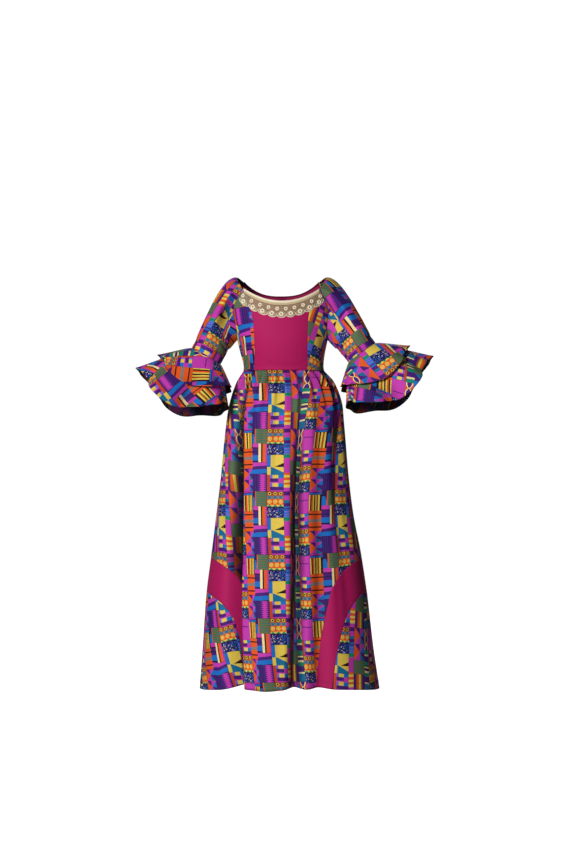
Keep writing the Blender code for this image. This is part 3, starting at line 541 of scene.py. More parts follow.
# A soft crease: where its middle lies (degrees, share of the length), its reach in degrees and
# in share, its lean in degrees over its reach, and its depth in metres
Crease = namedtuple("Crease", "angle share wide long lean depth")
SKIRT_CREASES = (
    Crease(-8, 0.20, 3.4, 0.17, 2.0, 0.0026),
    Crease(6, 0.34, 4.2, 0.22, -1.5, 0.0030),
    Crease(27, 0.26, 3.0, 0.16, -3.0, 0.0032),
    Crease(-20, 0.55, 3.6, 0.24, 2.5, 0.0028),
    Crease(-66, 0.30, 4.4, 0.20, 5.0, 0.0036),
    Crease(60, 0.42, 4.6, 0.22, -5.0, 0.0036),
    Crease(38, 0.66, 3.4, 0.20, -3.0, 0.0030),
    Crease(-4, 0.80, 3.0, 0.16, -1.0, 0.0034),
    Crease(98, 0.40, 4.5, 0.26, 2.0, 0.0040),
    Crease(131, 0.58, 4.0, 0.24, 2.5, 0.0042),
    Crease(170, 0.36, 4.4, 0.22, -2.0, 0.0038),
    Crease(-98, 0.46, 4.6, 0.24, -3.0, 0.0040),
    Crease(-128, 0.30, 4.0, 0.20, 2.0, 0.0036),
    Crease(-165, 0.62, 4.4, 0.26, 1.5, 0.0042),
)
GATHERS, GATHER_DEPTH, GATHER_START, GATHER_RUN, GATHER_DRIFT = 26, 0.0056, 0.012, 0.17, 0.8
FINE_GATHERS, FINE_DEPTH, FINE_RUN = 61, 0.0024, 0.060
CLOTH = 0.0011  # thickness of the cotton with its starch


def through(knots, values, at):
    """The value at `at` of a smooth curve through the knots, which ascend."""
    knots, values = np.asarray(knots, float), np.asarray(values, float)
    slopes = np.gradient(values, knots)
    at = np.clip(at, knots[0], knots[-1])
    i = np.clip(np.searchsorted(knots, at) - 1, 0, len(knots) - 2)
    step = knots[i + 1] - knots[i]
    s = (at - knots[i]) / step
    rise = s * s * (3 - 2 * s)
    bend = slopes[i] * s * (1 - s) ** 2 - slopes[i + 1] * s * s * (1 - s)
    return values[i] + (values[i + 1] - values[i]) * rise + bend * step


def column(rows, name):
    return [getattr(row, name) for row in rows]


def section_at(name, z):
    return through(column(SECTIONS, "z"), column(SECTIONS, name), z)


def dress_point(angle, z, push=0.0):
    """The point at an angle round the dress (0 at the front, +90 degrees at +X) and a height."""
    angle, z = np.broadcast_arrays(np.asarray(angle, float), np.asarray(z, float))
    sine, cosine = np.sin(angle), np.cos(angle)
    depth = np.where(cosine > 0, section_at("front", z), section_at("back", z))
    power = 2 / SQUARENESS
    x = section_at("centre", z) + section_at("half_width", z) * np.sign(sine) * np.abs(sine) ** power
    y = -depth * np.sign(cosine) * np.abs(cosine) ** power
    return np.stack([x + push * sine, y - push * cosine, z + 0 * x], axis=-1)


def fold_push(angle, share, gathered=True):
    """How far the folds, creases and gathers move the skirt out."""
    degrees = np.degrees(angle)
    push = np.zeros(np.broadcast(angle, share).shape)
    for fold in FOLDS:
        middle = through(FOLD_SHARES, (fold.waist, fold.mid, fold.hem), share)
        depth = through(FOLD_SHARES, (fold.waist_depth, fold.mid_depth, fold.hem_depth), share)
        off = degrees - middle
        spread = np.where(off < 0, fold.before, fold.after)
        push = push - depth * np.exp(-((off / spread) ** 2))
    if not gathered:
        return push
    for crease in SKIRT_CREASES:
        down = (share - crease.share) / crease.long
        off = (degrees - crease.angle - crease.lean * down) / crease.wide
        push = push - crease.depth * np.exp(-(off**2) - down**2)
    opened = 1 - np.exp(-share / GATHER_START)
    drift = GATHER_DRIFT * np.sin(3 * angle)
    size = GATHER_DEPTH * opened * np.exp(-share / GATHER_RUN)
    push = push + size * np.cos(GATHERS * angle + drift)
    # The fine gathers are deeper at seven places round the waist, and unevenly spaced.
    size = FINE_DEPTH * opened * np.exp(-share / FINE_RUN) * (0.6 + 0.4 * np.cos(7 * angle + 1.0))
    return push + size * np.cos(FINE_GATHERS * angle + 2.2 * np.sin(5 * angle))


def skirt_point(angle, share, gathered=True):
    side = np.abs(np.sin(angle)) ** 3
    push = fold_push(angle, share, gathered)
    hem = HEM_FRONT_Z + (HEM_SIDE_Z - HEM_FRONT_Z) * side - HEM_LIFT * push
    return dress_point(angle, WAIST_Z + share * (hem - WAIST_Z), push)


# Cloth that doubles over behind a fold's edge: the edge's angle at the waist, middle and hem in
# degrees, and the width hidden there in metres
Doubled = namedtuple("Doubled", "waist mid hem waist_width mid_width hem_width")
DOUBLED = (Doubled(15, 10, 1.5, 0.004, 0.034, 0.030), Doubled(-33, -27, -17, 0.0, 0.018, 0.044))
DOUBLED_SPREAD = 2.2  # degrees over which the width slips out of sight
CUT_COLUMNS, CUT_ROWS = 720, 40


def cut_lengths():
    """How far round the cloth and down it each (angle, share) of the skirt lies, on a fine grid."""
    angles, shares = np.radians(np.linspace(-180, 180, CUT_COLUMNS + 1)), np.linspace(0, 1, CUT_ROWS + 1)
    points = skirt_point(angles[None, :], shares[:, None], gathered=False)
    round_it = np.linalg.norm(np.diff(points, axis=1), axis=-1)
    round_it = np.concatenate([np.zeros((len(shares), 1)), np.cumsum(round_it, axis=1)], axis=1)
    for fold in DOUBLED:
        middle = through(FOLD_SHARES, (fold.waist, fold.mid, fold.hem), shares)[:, None]
        hidden = through(FOLD_SHARES, (fold.waist_width, fold.mid_width, fold.hem_width), shares)[:, None]
        round_it += hidden / (1 + np.exp((middle - np.degrees(angles)[None, :]) / DOUBLED_SPREAD * 2))
    front = len(angles) // 2
    round_it -= round_it[:, front : front + 1]
    down_it = np.linalg.norm(np.diff(points, axis=0), axis=-1)
    down_it = np.concatenate([np.zeros((1, len(angles))), np.cumsum(down_it, axis=0)], axis=0)
    return angles, shares, round_it, down_it


CUT_ANGLES, CUT_SHARES, ROUND_IT, DOWN_IT = cut_lengths()


def skirt_cut(angle, share):
    """Flat-cut coordinates on the skirt, read between the fine grid's points."""
    i = np.clip((angle - CUT_ANGLES[0]) / (CUT_ANGLES[1] - CUT_ANGLES[0]), 0, len(CUT_ANGLES) - 1.001)
    j = np.clip(share / CUT_SHARES[1], 0, len(CUT_SHARES) - 1.001)
    a, b = i.astype(int), j.astype(int)
    s, t = i - a, j - b
    read = []
    for grid in (ROUND_IT, DOWN_IT):
        upper = (1 - s) * grid[b, a] + s * grid[b, a + 1]
        lower = (1 - s) * grid[b + 1, a] + s * grid[b + 1, a + 1]
        read.append((1 - t) * upper + t * lower)
    return np.stack(read, axis=-1)


def turned_cut(cut, turn, pivot, place):
    """The cut turned clockwise by some degrees about a pivot, which moves to a place on the chart."""
    across, down = cut[..., 0] - pivot[0], cut[..., 1] - pivot[1]
    cosine, sine = math.cos(math.radians(turn)), math.sin(math.radians(turn))
    turned = [place[0] + across * cosine + down * sine, place[1] - across * sine + down * cosine]
    return np.stack(turned, axis=-1)


def unit(vectors):
    return vectors / np.maximum(np.linalg.norm(vectors, axis=-1, keepdims=True), 1e-12)


def normals_of(points, ring=False):
    """Normals of a grid of points, out from the dress for rows that run down and left to right."""
    if ring:
        across = np.roll(points, -1, axis=1) - np.roll(points, 1, axis=1)
    else:
        across = np.gradient(points, axis=1)
    return unit(np.cross(np.gradient(points, axis=0), across))


ALLOWANCE = 0.006  # seam allowance, turned in behind each seam
TURN_OUT, TURN_BEHIND, TURN_CUT = 0.0001, 0.0012, 0.001  # where it turns: past the edge, behind, on the cut


def turned_in(points, normals, cut, sides):
    """The grids with two more rows past each named edge, turned in as a seam allowance."""
    grids = points, normals, cut
    for side in sides:
        upright, backwards = side in ("left", "right"), side in ("last", "right")
        if upright:
            grids = [grid.swapaxes(0, 1) for grid in grids]
        if backwards:
            grids = [grid[::-1] for grid in grids]
        points, normals, cut = grids
        out, away = unit(points[0] - points[1]), unit(cut[0] - cut[1])
        turn = points[0] + out * TURN_OUT - normals[0] * TURN_BEHIND
        grids = [
            np.concatenate([[turn - normals[0] * ALLOWANCE], [turn], points]),
            np.concatenate([normals[:1], normals[:1], normals]),
            np.concatenate([[cut[0] + away * reach] for reach in (ALLOWANCE + TURN_CUT, TURN_CUT)] + [cut]),
        ]
        if backwards:
            grids = [grid[::-1] for grid in grids]
        if upright:
            grids = [grid.swapaxes(0, 1) for grid in grids]
    return grids


def lay_cloth(name, points, cut, face, inside, ring=False, thickness=CLOTH):
    """A sheet through a grid of points, with its flat cut as UVs, thickened inwards.

    A ring's last column joins its first, which its cut holds once more at the end.
    """
    rows, columns = points.shape[:2]
    across = np.arange(columns if ring else columns - 1)
    i, j = np.meshgrid(np.arange(rows - 1), across, indexing="ij")
    k = (j + 1) % columns
    low, high = i * columns, (i + 1) * columns
    quads = np.stack([low + j, high + j, high + k, low + k], axis=-1)
    mesh = bpy.data.meshes.new(name)
    mesh.from_pydata(points.reshape(-1, 3).tolist(), [], quads.reshape(-1, 4).tolist())
    layer = mesh.uv_layers.new(name="cut")
    corners = np.stack([cut[i, j], cut[i + 1, j], cut[i + 1, j + 1], cut[i, j + 1]], axis=2)
    layer.uv.foreach_set("vector", corners.reshape(-1).astype(np.float32))
    mesh.shade_smooth()
    mesh.materials.append(face)
    mesh.materials.append(inside)
    made = bpy.data.objects.new(name, mesh)
    scene.collection.objects.link(made)
    wall = made.modifiers.new("wall", "SOLIDIFY")
    wall.thickness, wall.offset = thickness, -1.0
    wall.use_even_offset = False
    # The inside and the cut edge take the second material, which on the cotton is a darker copy: painted
    # shade.
    wall.material_offset = 1
    wall.material_offset_rim = 1
    return made


def finish_cloth(made, replaced):
    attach(made, "dress")
    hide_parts(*replaced)


def between(left, right, columns):
    """A grid of (angle, share) places whose rows run from left to right."""
    steps_across = np.linspace(0, 1, columns + 1)[None, :, None]
    places = left[:, None] + (right - left)[:, None] * steps_across
    return places[..., 0], places[..., 1]


# The bands' edges on the skirt: share of the length, and the angles on the left and the right
BandPoint = namedtuple("BandPoint", "share left right")
BAND_UPPER = (
    BandPoint(0.580, -90.0, 90.0),
    BandPoint(0.588, -77.0, 77.0),
    BandPoint(0.600, -62.5, 62.7),
    BandPoint(0.620, -50.5, 51.6),
    BandPoint(0.645, -44.6, 42.0),
    BandPoint(0.670, -41.9, 35.6),
    BandPoint(0.700, -40.0, 31.5),
    BandPoint(0.740, -38.6, 28.6),
    BandPoint(0.80, -37.0, 25.1),
    BandPoint(0.90, -33.5, 20.5),
    BandPoint(1.0, -30.0, 16.5),
)
BAND_LOWER = (
    BandPoint(0.690, -90.0, 90.0),
    BandPoint(0.702, -71.0, 67.0),
    BandPoint(0.722, -55.0, 56.5),
    BandPoint(0.750, -47.0, 49.0),
    BandPoint(0.785, -43.0, 42.3),
    BandPoint(0.820, -41.2, 38.2),
    BandPoint(0.860, -39.3, 34.5),
    BandPoint(0.91, -37.8, 31.0),
    BandPoint(1.0, -35.5, 26.5),
)


def band_edge(rows, side, shares):
    angles = through(column(rows, "share"), column(rows, side), shares)
    return np.stack([np.radians(angles), shares], axis=-1)


def skirt_panel(name, left, right, columns, face, inside, seams, turned=None):
    """Lays a panel of the skirt between two edges, each a list of (angle, share)."""
    angle, share = between(left, right, columns)
    points, cut = skirt_point(angle, share), skirt_cut(angle, share)
    # The grain runs down the centre back on the backs, and down the centre front elsewhere.
    if "back" in name:
        edge = np.where(angle < 0, -math.pi, math.pi)
        cut[..., 0] += skirt_cut(edge, 0 * share)[..., 0] - skirt_cut(edge, share)[..., 0]
    if turned:
        cut = turned_cut(cut, *turned)
    points, _, cut = turned_in(points, normals_of(points), cut, seams)
    return lay_cloth("cloth_" + name, points, cut, face, inside)


def seam_line(turn, shares):
    """(angle, share) down a seam that stays at one angle round the dress."""
    return np.stack([0 * shares + turn, shares], axis=-1)


SIDES = ((-1, "left"), (1, "right"))
SIDE_TURN, BACK_TURN = math.pi / 2, math.pi  # the side seams and the centre back
# Rows lie closer together in the gathers, and on the front also where the band's tip meets the side.
GATHERED_SHARE = 0.16
tip_shares = BAND_UPPER[0].share + 0.05 * np.linspace(0, 1, 16) ** 2
front_shares = [np.linspace(0, GATHERED_SHARE, 26), np.linspace(GATHERED_SHARE, 1, 84), tip_shares]
front_shares = np.unique(np.concatenate(front_shares))
front_edges = []
for sign, side in SIDES:
    edge = seam_line(sign * SIDE_TURN, front_shares)
    cut_away = front_shares > BAND_UPPER[0].share
    edge[cut_away] = band_edge(BAND_UPPER, side, front_shares[cut_away])
    front_edges.append(edge)
gathered_seams = ("left", "right", "first")
skirt_front = skirt_panel("skirt_front", *front_edges, 230, printed_cotton, printed_shaded_inside, gathered_seams)
finish_cloth(skirt_front, ["skirt_front"])
back_shares = [np.linspace(0, GATHERED_SHARE, 22), np.linspace(GATHERED_SHARE, 1, 60)]
back_shares = np.unique(np.concatenate(back_shares))
for sign, side in SIDES:
    ends = [seam_line(sign * turn, back_shares) for turn in (SIDE_TURN, BACK_TURN)][::sign]
    piece = skirt_panel(f"skirt_back_{side}", *ends, 120, printed_cotton, printed_shaded_inside, gathered_seams)
    finish_cloth(piece, [f"skirt_back_{side}"])

# Skirt bands and corners
# A plain magenta band curves from each side seam down to the hem, let into the printed cloth,
# and a printed corner fills the place between the band, the side seam and the hem.
MAGENTA = ink(0xA81356)
plain_cotton = cotton("plain_cotton", MAGENTA, printed=False)
# A darker copy of the plain cotton for its inside: painted shade.
plain_shaded_inside = cotton("plain_cotton_shaded_inside", MAGENTA, depth=0.5, printed=False)
# How the print lies on a corner: its turn in degrees about a place on the skirt's own cut, and
# where on the chart that place comes.
CornerPrint = namedtuple("CornerPrint", "turn pivot place")
CORNER_PRINTS = {
    "left": CornerPrint(-8.7, (-0.355, 0.880), (-0.059, 0.009)),
    "right": CornerPrint(9.0, (0.277, 0.897), (-0.004, 0.022)),
}
CORNER_TIP = 0.06  # degrees that the corner's top row is wide
BAND_ROWS = np.linspace(0, 1, 72) ** 1.15
for sign, side in SIDES:
    upper, lower = (
        band_edge(rows, side, rows[0].share + (1 - rows[0].share) * BAND_ROWS)
        for rows in (BAND_UPPER, BAND_LOWER)
    )
    ends = (upper, lower)[::sign]
    band = skirt_panel(f"skirt_band_{side}", *ends, 18, plain_cotton, plain_shaded_inside, ("left", "right"))
    finish_cloth(band, [f"skirt_band_{side}"])
    seam_side = seam_line(sign * SIDE_TURN, lower[:, 1])
    lower[0, 0] -= sign * math.radians(CORNER_TIP)
    corner = skirt_panel(
        f"skirt_corner_{side}", *(lower, seam_side)[::sign], 56, printed_cotton, printed_shaded_inside,
        ("left", "right"), CORNER_PRINTS[side],
    )
    finish_cloth(corner, [f"skirt_corner_{side}"])

# Bodice
# A plain magenta panel between two princess seams, a printed panel on each side of it, and two
# printed backs that meet at the zip. All stop at the waist seam below and the raglan seams above.
UNDERARM_Z = -0.215
Neckline = namedtuple("Neckline", "lowest rise power")  # height = lowest + rise * |x| ** power
FRONT_NECK, BACK_NECK = Neckline(-0.0885, 3.23, 2.08), Neckline(-0.0582, 9.34, 2.60)
NECK_BEND = 1.5
Princess = namedtuple("Princess", "z left right")  # distance of each seam from x = 0
PRINCESS = (
    Princess(-0.320, 0.0928, 0.0862),
    Princess(-0.200, 0.0930, 0.0865),
    Princess(-0.140, 0.0990, 0.0895),
    Princess(-0.110, 0.1075, 0.0945),
    Princess(-0.060, 0.1120, 0.0985),
)
Raglan = namedtuple("Raglan", "front_z front_share back_z back_share")  # share of the half width
RAGLAN = (
    Raglan(-0.2150, 1.000, -0.2150, 1.000),
    Raglan(-0.2040, 0.972, -0.2040, 0.972),
    Raglan(-0.1770, 0.934, -0.1740, 0.930),
    Raglan(-0.1500, 0.926, -0.1420, 0.920),
    Raglan(-0.1240, 0.920, -0.1100, 0.905),
    Raglan(-0.1020, 0.890, -0.0780, 0.868),
    Raglan(-0.0780, 0.826, -0.0460, 0.812),
    Raglan(-0.0460, 0.728, -0.0120, 0.735),
)
SIDE_ROWS, RAGLAN_ROWS = 26, 40
# How the print lies on a side panel: its turn in degrees, and its place on the chart at the
# princess seam, 110 mm above the waist. Both are cut head to foot, so the chart runs up them.
# `seam` is the column at the princess seam: the last one on the left panel.
SidePrint = namedtuple("SidePrint", "turn across down seam")
SIDE_PRINTS = {"left": SidePrint(-185, 0.178, 0.102, -1), "right": SidePrint(-160, 0.027, 0.099, 0)}
PRINT_PIVOT = 0.110
# A drag line on the bodice: where its middle lies (degrees, z), its reach in degrees and in
# metres, its lean in degrees over its reach, and its depth in metres
BODICE_CREASES = (
    Crease(64, -0.235, 7.0, 0.030, -9.0, 0.0022),
    Crease(-64, -0.238, 7.0, 0.032, 9.0, 0.0022),
    Crease(76, -0.275, 6.0, 0.026, -8.0, 0.0020),
    Crease(-78, -0.272, 6.0, 0.026, 8.0, 0.0020),
    Crease(22, -0.296, 9.0, 0.014, 5.0, 0.0012),
    Crease(-16, -0.300, 9.0, 0.012, -5.0, 0.0012),
    Crease(150, -0.270, 8.0, 0.030, 6.0, 0.0024),
    Crease(-152, -0.264, 8.0, 0.032, -6.0, 0.0024),
    Crease(118, -0.250, 6.0, 0.034, 8.0, 0.0026),
    Crease(-120, -0.246, 6.0, 0.034, -8.0, 0.0026),
)


def neck_height(neck, x):
    return neck.lowest + neck.rise * np.abs(x) ** neck.power


def angle_of(x, z):
    share = np.clip((x - section_at("centre", z)) / section_at("half_width", z), -1, 1)
    return np.sign(share) * np.arcsin(np.abs(share) ** (SQUARENESS / 2))


def bodice_point(angle, z):
    push = 0.0 * angle * z
    for crease in BODICE_CREASES:
        up = (z - crease.share) / crease.long
        off = (np.degrees(angle) - crease.angle - crease.lean * up) / crease.wide
        push = push - crease.depth * np.exp(-(off**2) - up**2)
    return dress_point(angle, z, push)


def raglan_places(sign, back):
    """(angle, z) up a raglan seam, from the underarm to the neck edge."""
    facing = "back" if back else "front"
    rise = np.linspace(0, 1, RAGLAN_ROWS + 1)
    knots = np.linspace(0, 1, len(RAGLAN))
    z = through(knots, column(RAGLAN, facing + "_z"), rise)
    share = np.clip(through(knots, column(RAGLAN, facing + "_share"), rise), 0, 1)
    angle = np.arcsin(share ** (SQUARENESS / 2))
    return np.stack([sign * (math.pi - angle if back else angle), z], axis=-1)


def outer_edge(sign, back):
    z = np.linspace(WAIST_Z, UNDERARM_Z, SIDE_ROWS + 1)
    return np.concatenate([seam_line(sign * SIDE_TURN, z), raglan_places(sign, back)[1:]])


def inner_edge(top_z):
    below = np.linspace(WAIST_Z, UNDERARM_Z, SIDE_ROWS + 1)
    return np.concatenate([below, np.linspace(UNDERARM_Z, top_z, RAGLAN_ROWS + 1)[1:]])


def princess_places(sign):
    knots, values = column(PRINCESS, "z"), column(PRINCESS, "left" if sign < 0 else "right")
    z = inner_edge(neck_height(FRONT_NECK, values[-1]))
    return np.stack([angle_of(sign * through(knots, values, z), z), z], axis=-1)


def bodice_panel(name, left, right, columns, neck, face, inside, lay=None):
    """Lays a bodice panel, its rows bent to the neckline where it has one."""
    angle, z = between(left, right, columns)
    if neck:
        across = np.linspace(0, 1, columns + 1)
        bend = np.clip((z[:, :1] - UNDERARM_Z) / (z[-1, 0] - UNDERARM_Z), 0, 1) ** NECK_BEND
        rise = neck_height(neck, dress_point(angle[-1], z[-1])[:, 0]) - z[-1]
        z = z + bend * (rise - (rise[0] + (rise[-1] - rise[0]) * across))[None, :]
    angle, z = angle[::-1], z[::-1]  # rows run down
    points = bodice_point(angle, z)
    steps_round = np.linalg.norm(np.diff(points, axis=1), axis=-1)
    start = np.interp(angle[:, 0], CUT_ANGLES, ROUND_IT[0])[:, None]
    across = np.concatenate([start, start + np.cumsum(steps_round, axis=1)], axis=1)
    down = WAIST_Z - z
    cut = np.stack([across, down], axis=-1)
    if lay:
        row = np.argmin(np.abs(z[:, 0] - WAIST_Z - PRINT_PIVOT))
        cut[..., 0] += points[:, lay.seam, None, 0] - points[row, lay.seam, 0] - across[:, lay.seam, None]
        cut = turned_cut(cut, lay.turn, (0, -PRINT_PIVOT), (lay.across, lay.down))
    points, _, cut = turned_in(points, normals_of(points), cut, ("left", "right", "first", "last"))
    return lay_cloth("cloth_" + name, points, cut, face, inside)


ends = princess_places(-1), princess_places(1)
centre = bodice_panel("bodice_front_centre", *ends, 90, FRONT_NECK, plain_cotton, plain_shaded_inside)
finish_cloth(centre, ["bodice_front_centre"])
for sign, side in SIDES:
    ends = (princess_places(sign), outer_edge(sign, False))[::sign]
    piece = bodice_panel(
        f"bodice_front_side_{side}", *ends, 40, None, printed_cotton, printed_shaded_inside, SIDE_PRINTS[side]
    )
    finish_cloth(piece, [f"bodice_front_side_{side}"])
    ends = (outer_edge(sign, True), seam_line(sign * BACK_TURN, inner_edge(BACK_NECK.lowest)))[::sign]
    piece = bodice_panel(f"bodice_back_{side}", *ends, 64, BACK_NECK, printed_cotton, plain_cotton)
    finish_cloth(piece, [f"bodice_back_{side}"])

# Sleeves
# Raglan sleeves, each cut in one piece from the neck edge to the elbow. They stand full at the
# shoulder and crease a little under the arm and at the elbow, where the flounces are sewn on.
Arm = namedtuple("Arm", "side x z tilt")  # the elbow seam's centre, and the tilt from vertical
ARMS = (Arm("left", -0.2560, -0.2749, 29.0), Arm("right", 0.2706, -0.2638, 36.0))
ELBOW_Y, ARM_LEAN, ELBOW_RADIUS = -0.076, 0.05, 0.056
SHOULDER_ARCH, SHOULDER_REACH = 0.026, 0.021
SLEEVE_HANGING, SLEEVE_REACHING = (0.10, -0.02, -0.12), (0.17, -0.01, 0.045)
SLEEVE_SPREAD, SLEEVE_ARRIVING, SEAM_OUTWARD, SEAM = 1.4, 0.16, 0.08, 0.0003
SLEEVE_TUCK, TUCK_BLUR = 0.004, 6  # turned in at both ends; columns over which the neck's is smoothed
NECK_STEPS, SLEEVE_ROWS = 44, 90
# A sleeve crease: its middle (turns from the underarm's front, share of the length), its reach
# in turns and in share, its lean in turns over its reach, and its depth
SleeveCrease = namedtuple("SleeveCrease", "turn share wide long lean depth")
SLEEVE_CREASES = (
    SleeveCrease(0.06, 0.40, 0.10, 0.060, 0.10, 0.0040),
    SleeveCrease(0.10, 0.58, 0.11, 0.050, 0.09, 0.0036),
    SleeveCrease(0.93, 0.48, 0.10, 0.060, -0.10, 0.0040),
    SleeveCrease(0.20, 0.78, 0.12, 0.045, 0.05, 0.0028),
    SleeveCrease(0.34, 0.62, 0.09, 0.070, -0.08, 0.0022),
    SleeveCrease(0.72, 0.72, 0.11, 0.055, -0.06, 0.0030),
    SleeveCrease(0.28, 0.34, 0.05, 0.120, 0.05, 0.0020),
    SleeveCrease(0.60, 0.40, 0.06, 0.110, -0.04, 0.0022),
    SleeveCrease(0.45, 0.86, 0.13, 0.040, 0.03, 0.0024),
)


def square_to(down):
    """The unit vector down an arm, and one square to it that points as far forward as it can."""
    down, ahead = unit(down), np.array([0, -1, 0])
    return down, unit(ahead - down * np.dot(down, ahead))


def arm_directions(arm):
    """Unit vectors down the arm, out of it on its upper side, and out of it at its front."""
    out = -1 if arm.x < 0 else 1
    tilt = math.radians(arm.tilt)
    down, front = square_to(np.array([out * math.sin(tilt), -ARM_LEAN, -math.cos(tilt)]))
    return down, np.cross(front, down) * out, front


def arm_ring(arm, angle, radius, along):
    down, outer, front = arm_directions(arm)
    radius, along = np.asarray(radius)[..., None], np.asarray(along)[..., None]
    out = outer * np.cos(angle)[..., None] + front * np.sin(angle)[..., None]
    return np.array([arm.x, ELBOW_Y, arm.z]) + down * along + out * radius


def armhole(sign):
    """The sleeve's top edge: up the front seam, over the shoulder and down the back seam."""
    front, back = (bodice_point(*raglan_places(sign, is_back).T) for is_back in (False, True))
    across = np.linspace(0, 1, NECK_STEPS + 1)[1:-1, None]
    over = front[-1] + (back[-1] - front[-1]) * across
    over = over + np.sin(math.pi * across) * np.array([sign * SHOULDER_REACH, 0, SHOULDER_ARCH])
    return np.concatenate([front, over, back[:0:-1]])


# The print's place on each sleeve's front, below the shoulder. It also runs up the sleeves.
SHOULDER = (0.155, -0.020, -0.090)
SLEEVE_PRINTS = {"left": (-0.0315, 0.196), "right": (-0.062, 0.202)}


def sleeve_cut(arm, points):
    """Flat-cut coordinates round and along the arm, with the first column again at the end."""
    shoulder = np.array(SHOULDER) * (1 if arm.x > 0 else -1, 1, 1)
    down, front = square_to(np.array([arm.x, ELBOW_Y, arm.z]) - shoulder)
    right = np.cross(front, down)
    off = points - shoulder
    ahead, aside, along = off @ front, off @ right, off @ down
    turned = np.unwrap(np.arctan2(aside, ahead), axis=1)
    foremost = np.argmax(ahead[len(ahead) // 2])
    turned -= 2 * math.pi * np.round(turned[:, foremost, None] / (2 * math.pi))
    whole = 2 * math.pi * np.sign(turned[:, -1:] - turned[:, :1])
    turned = np.concatenate([turned, turned[:, :1] + whole], axis=1)
    along = np.concatenate([along, along[:, :1]], axis=1)
    radius = np.hypot(ahead, aside).mean(axis=1, keepdims=True)
    place = SLEEVE_PRINTS[arm.side]
    return np.stack([place[0] - turned * radius, place[1] - along], axis=-1)


for arm in ARMS:
    sign = -1 if arm.x < 0 else 1
    start = armhole(sign)
    lengths = np.linalg.norm(np.roll(start, -1, axis=0) - start, axis=1)
    turn = np.concatenate([[0], np.cumsum(lengths)[:-1]]) / lengths.sum()
    end = arm_ring(arm, math.pi - 2 * math.pi * turn, ELBOW_RADIUS, 0)
    over = np.sin(math.pi * turn)[:, None] ** SLEEVE_SPREAD
    hanging, reaching = np.array(SLEEVE_HANGING), np.array(SLEEVE_REACHING)
    leaving = (hanging + (reaching - hanging) * over) * (sign, 1, 1)
    arriving = arm_directions(arm)[0] * SLEEVE_ARRIVING
    outward = leaving + np.array([sign * SEAM_OUTWARD, 0, 0])
    start = start + unit(outward) * SEAM
    s = np.linspace(0, 1, SLEEVE_ROWS + 1)[:, None, None]
    points = (1 + 2 * s) * (1 - s) ** 2 * start + s * s * (3 - 2 * s) * end
    points = points + s * (1 - s) ** 2 * leaving - s * s * (1 - s) * arriving
    if sign < 0:  # columns run the other way round, so that the faces point out
        points, turn = points[:, ::-1], turn[::-1]
    normals = normals_of(points, ring=True)
    push = np.zeros(points.shape[:2])
    for crease in SLEEVE_CREASES:
        down = (s[:, :, 0] - crease.share) / crease.long
        off = (turn[None, :] - crease.turn - crease.lean * down + 0.5) % 1.0 - 0.5
        push -= crease.depth * np.exp(-((off / crease.wide) ** 2) - down**2)
    points = points + normals * push[..., None]
    cut = sleeve_cut(arm, points)
    smoothed = sum(np.roll(normals[:1], k, axis=1) for k in range(-TUCK_BLUR, TUCK_BLUR + 1))
    tucks = points[:1] - unit(smoothed) * SLEEVE_TUCK, points[-1:] - normals[-1:] * SLEEVE_TUCK
    points = np.concatenate([tucks[0], points, tucks[1]])
    cut = np.concatenate([cut[:1] - (0, SLEEVE_TUCK), cut, cut[-1:] + (0, SLEEVE_TUCK)])
    sleeve = lay_cloth(f"cloth_sleeve_{arm.side}", points, cut, printed_cotton, printed_shaded_inside, ring=True)
    finish_cloth(sleeve, [f"sleeve_{arm.side}"])

# Flounces
# Two tiers of circular flounces on each elbow seam, the lower one longer. Each is cut as most of
# a ring, so that it flares into waves, and its rim is finished with a narrow hem.
# The rim's radius and its distance along the arm: mean + twice * cos(2a) + once * cos(a)
# `turned` is how far round the chart its cut starts, in radians.
Flounce = namedtuple(
    "Flounce", "tier start lift radius radius_twice radius_once fall fall_twice fall_once turned"
)
FLOUNCES = (
    Flounce("upper", 0.0022, -0.0020, 0.1275, 0.0060, 0.0045, 0.092, -0.029, 0.0095, 1.3),
    Flounce("lower", 0.0, 0.0006, 0.1450, 0.0165, 0.0125, 0.166, -0.040, 0.0205, 0.5),
)
FLOUNCE_BACK_DROP, FLOUNCE_INNER_DROP, INNER_DROP_POWER, FLARE_CURVE = 0.002, 0.036, 3, 0.88
FLOUNCE_WAVES, WAVE_TURN, WAVE_SIZE, WAVE_POWER = 5, 0.9, 0.24, 1.5
# Small ripples between the waves, at the rim; they drift, so that none is like the next.
RIPPLE_SIZE, RIPPLE_WAVES, RIPPLE_POWER, RIPPLE_DRIFT = 0.0042, 13, 2.5, 1.7
FLOUNCE_COLUMNS, FLOUNCE_ROWS = 260, 40
HEM_DEPTH, HEM_SWELL, HEM_EDGE = 0.010, 0.0007, 0.0015
RING_SHARE = 0.60  # the cut is this share of a full circle


def flounce_points(arm, flounce, angle, s):
    rim = flounce.radius + flounce.radius_twice * np.cos(2 * angle) + flounce.radius_once * np.cos(angle)
    fall = flounce.fall + flounce.fall_twice * np.cos(2 * angle) + flounce.fall_once * np.cos(angle)
    inner_share = ((1 - np.cos(angle)) / 2) ** INNER_DROP_POWER
    fall = fall - (FLOUNCE_BACK_DROP + FLOUNCE_INNER_DROP * inner_share) * np.sin(angle)
    along = flounce.lift + (fall - flounce.lift) * s
    start = ELBOW_RADIUS + flounce.start
    depth = WAVE_SIZE * np.maximum(along, 0) ** WAVE_POWER
    wave = depth * np.cos(FLOUNCE_WAVES * angle + WAVE_TURN)
    drift = RIPPLE_DRIFT * np.sin(2 * angle + 0.4)
    wave = wave + RIPPLE_SIZE * s**RIPPLE_POWER * np.cos(RIPPLE_WAVES * angle + drift)
    return arm_ring(arm, angle, start + (rim - start) * s**FLARE_CURVE + wave, along)


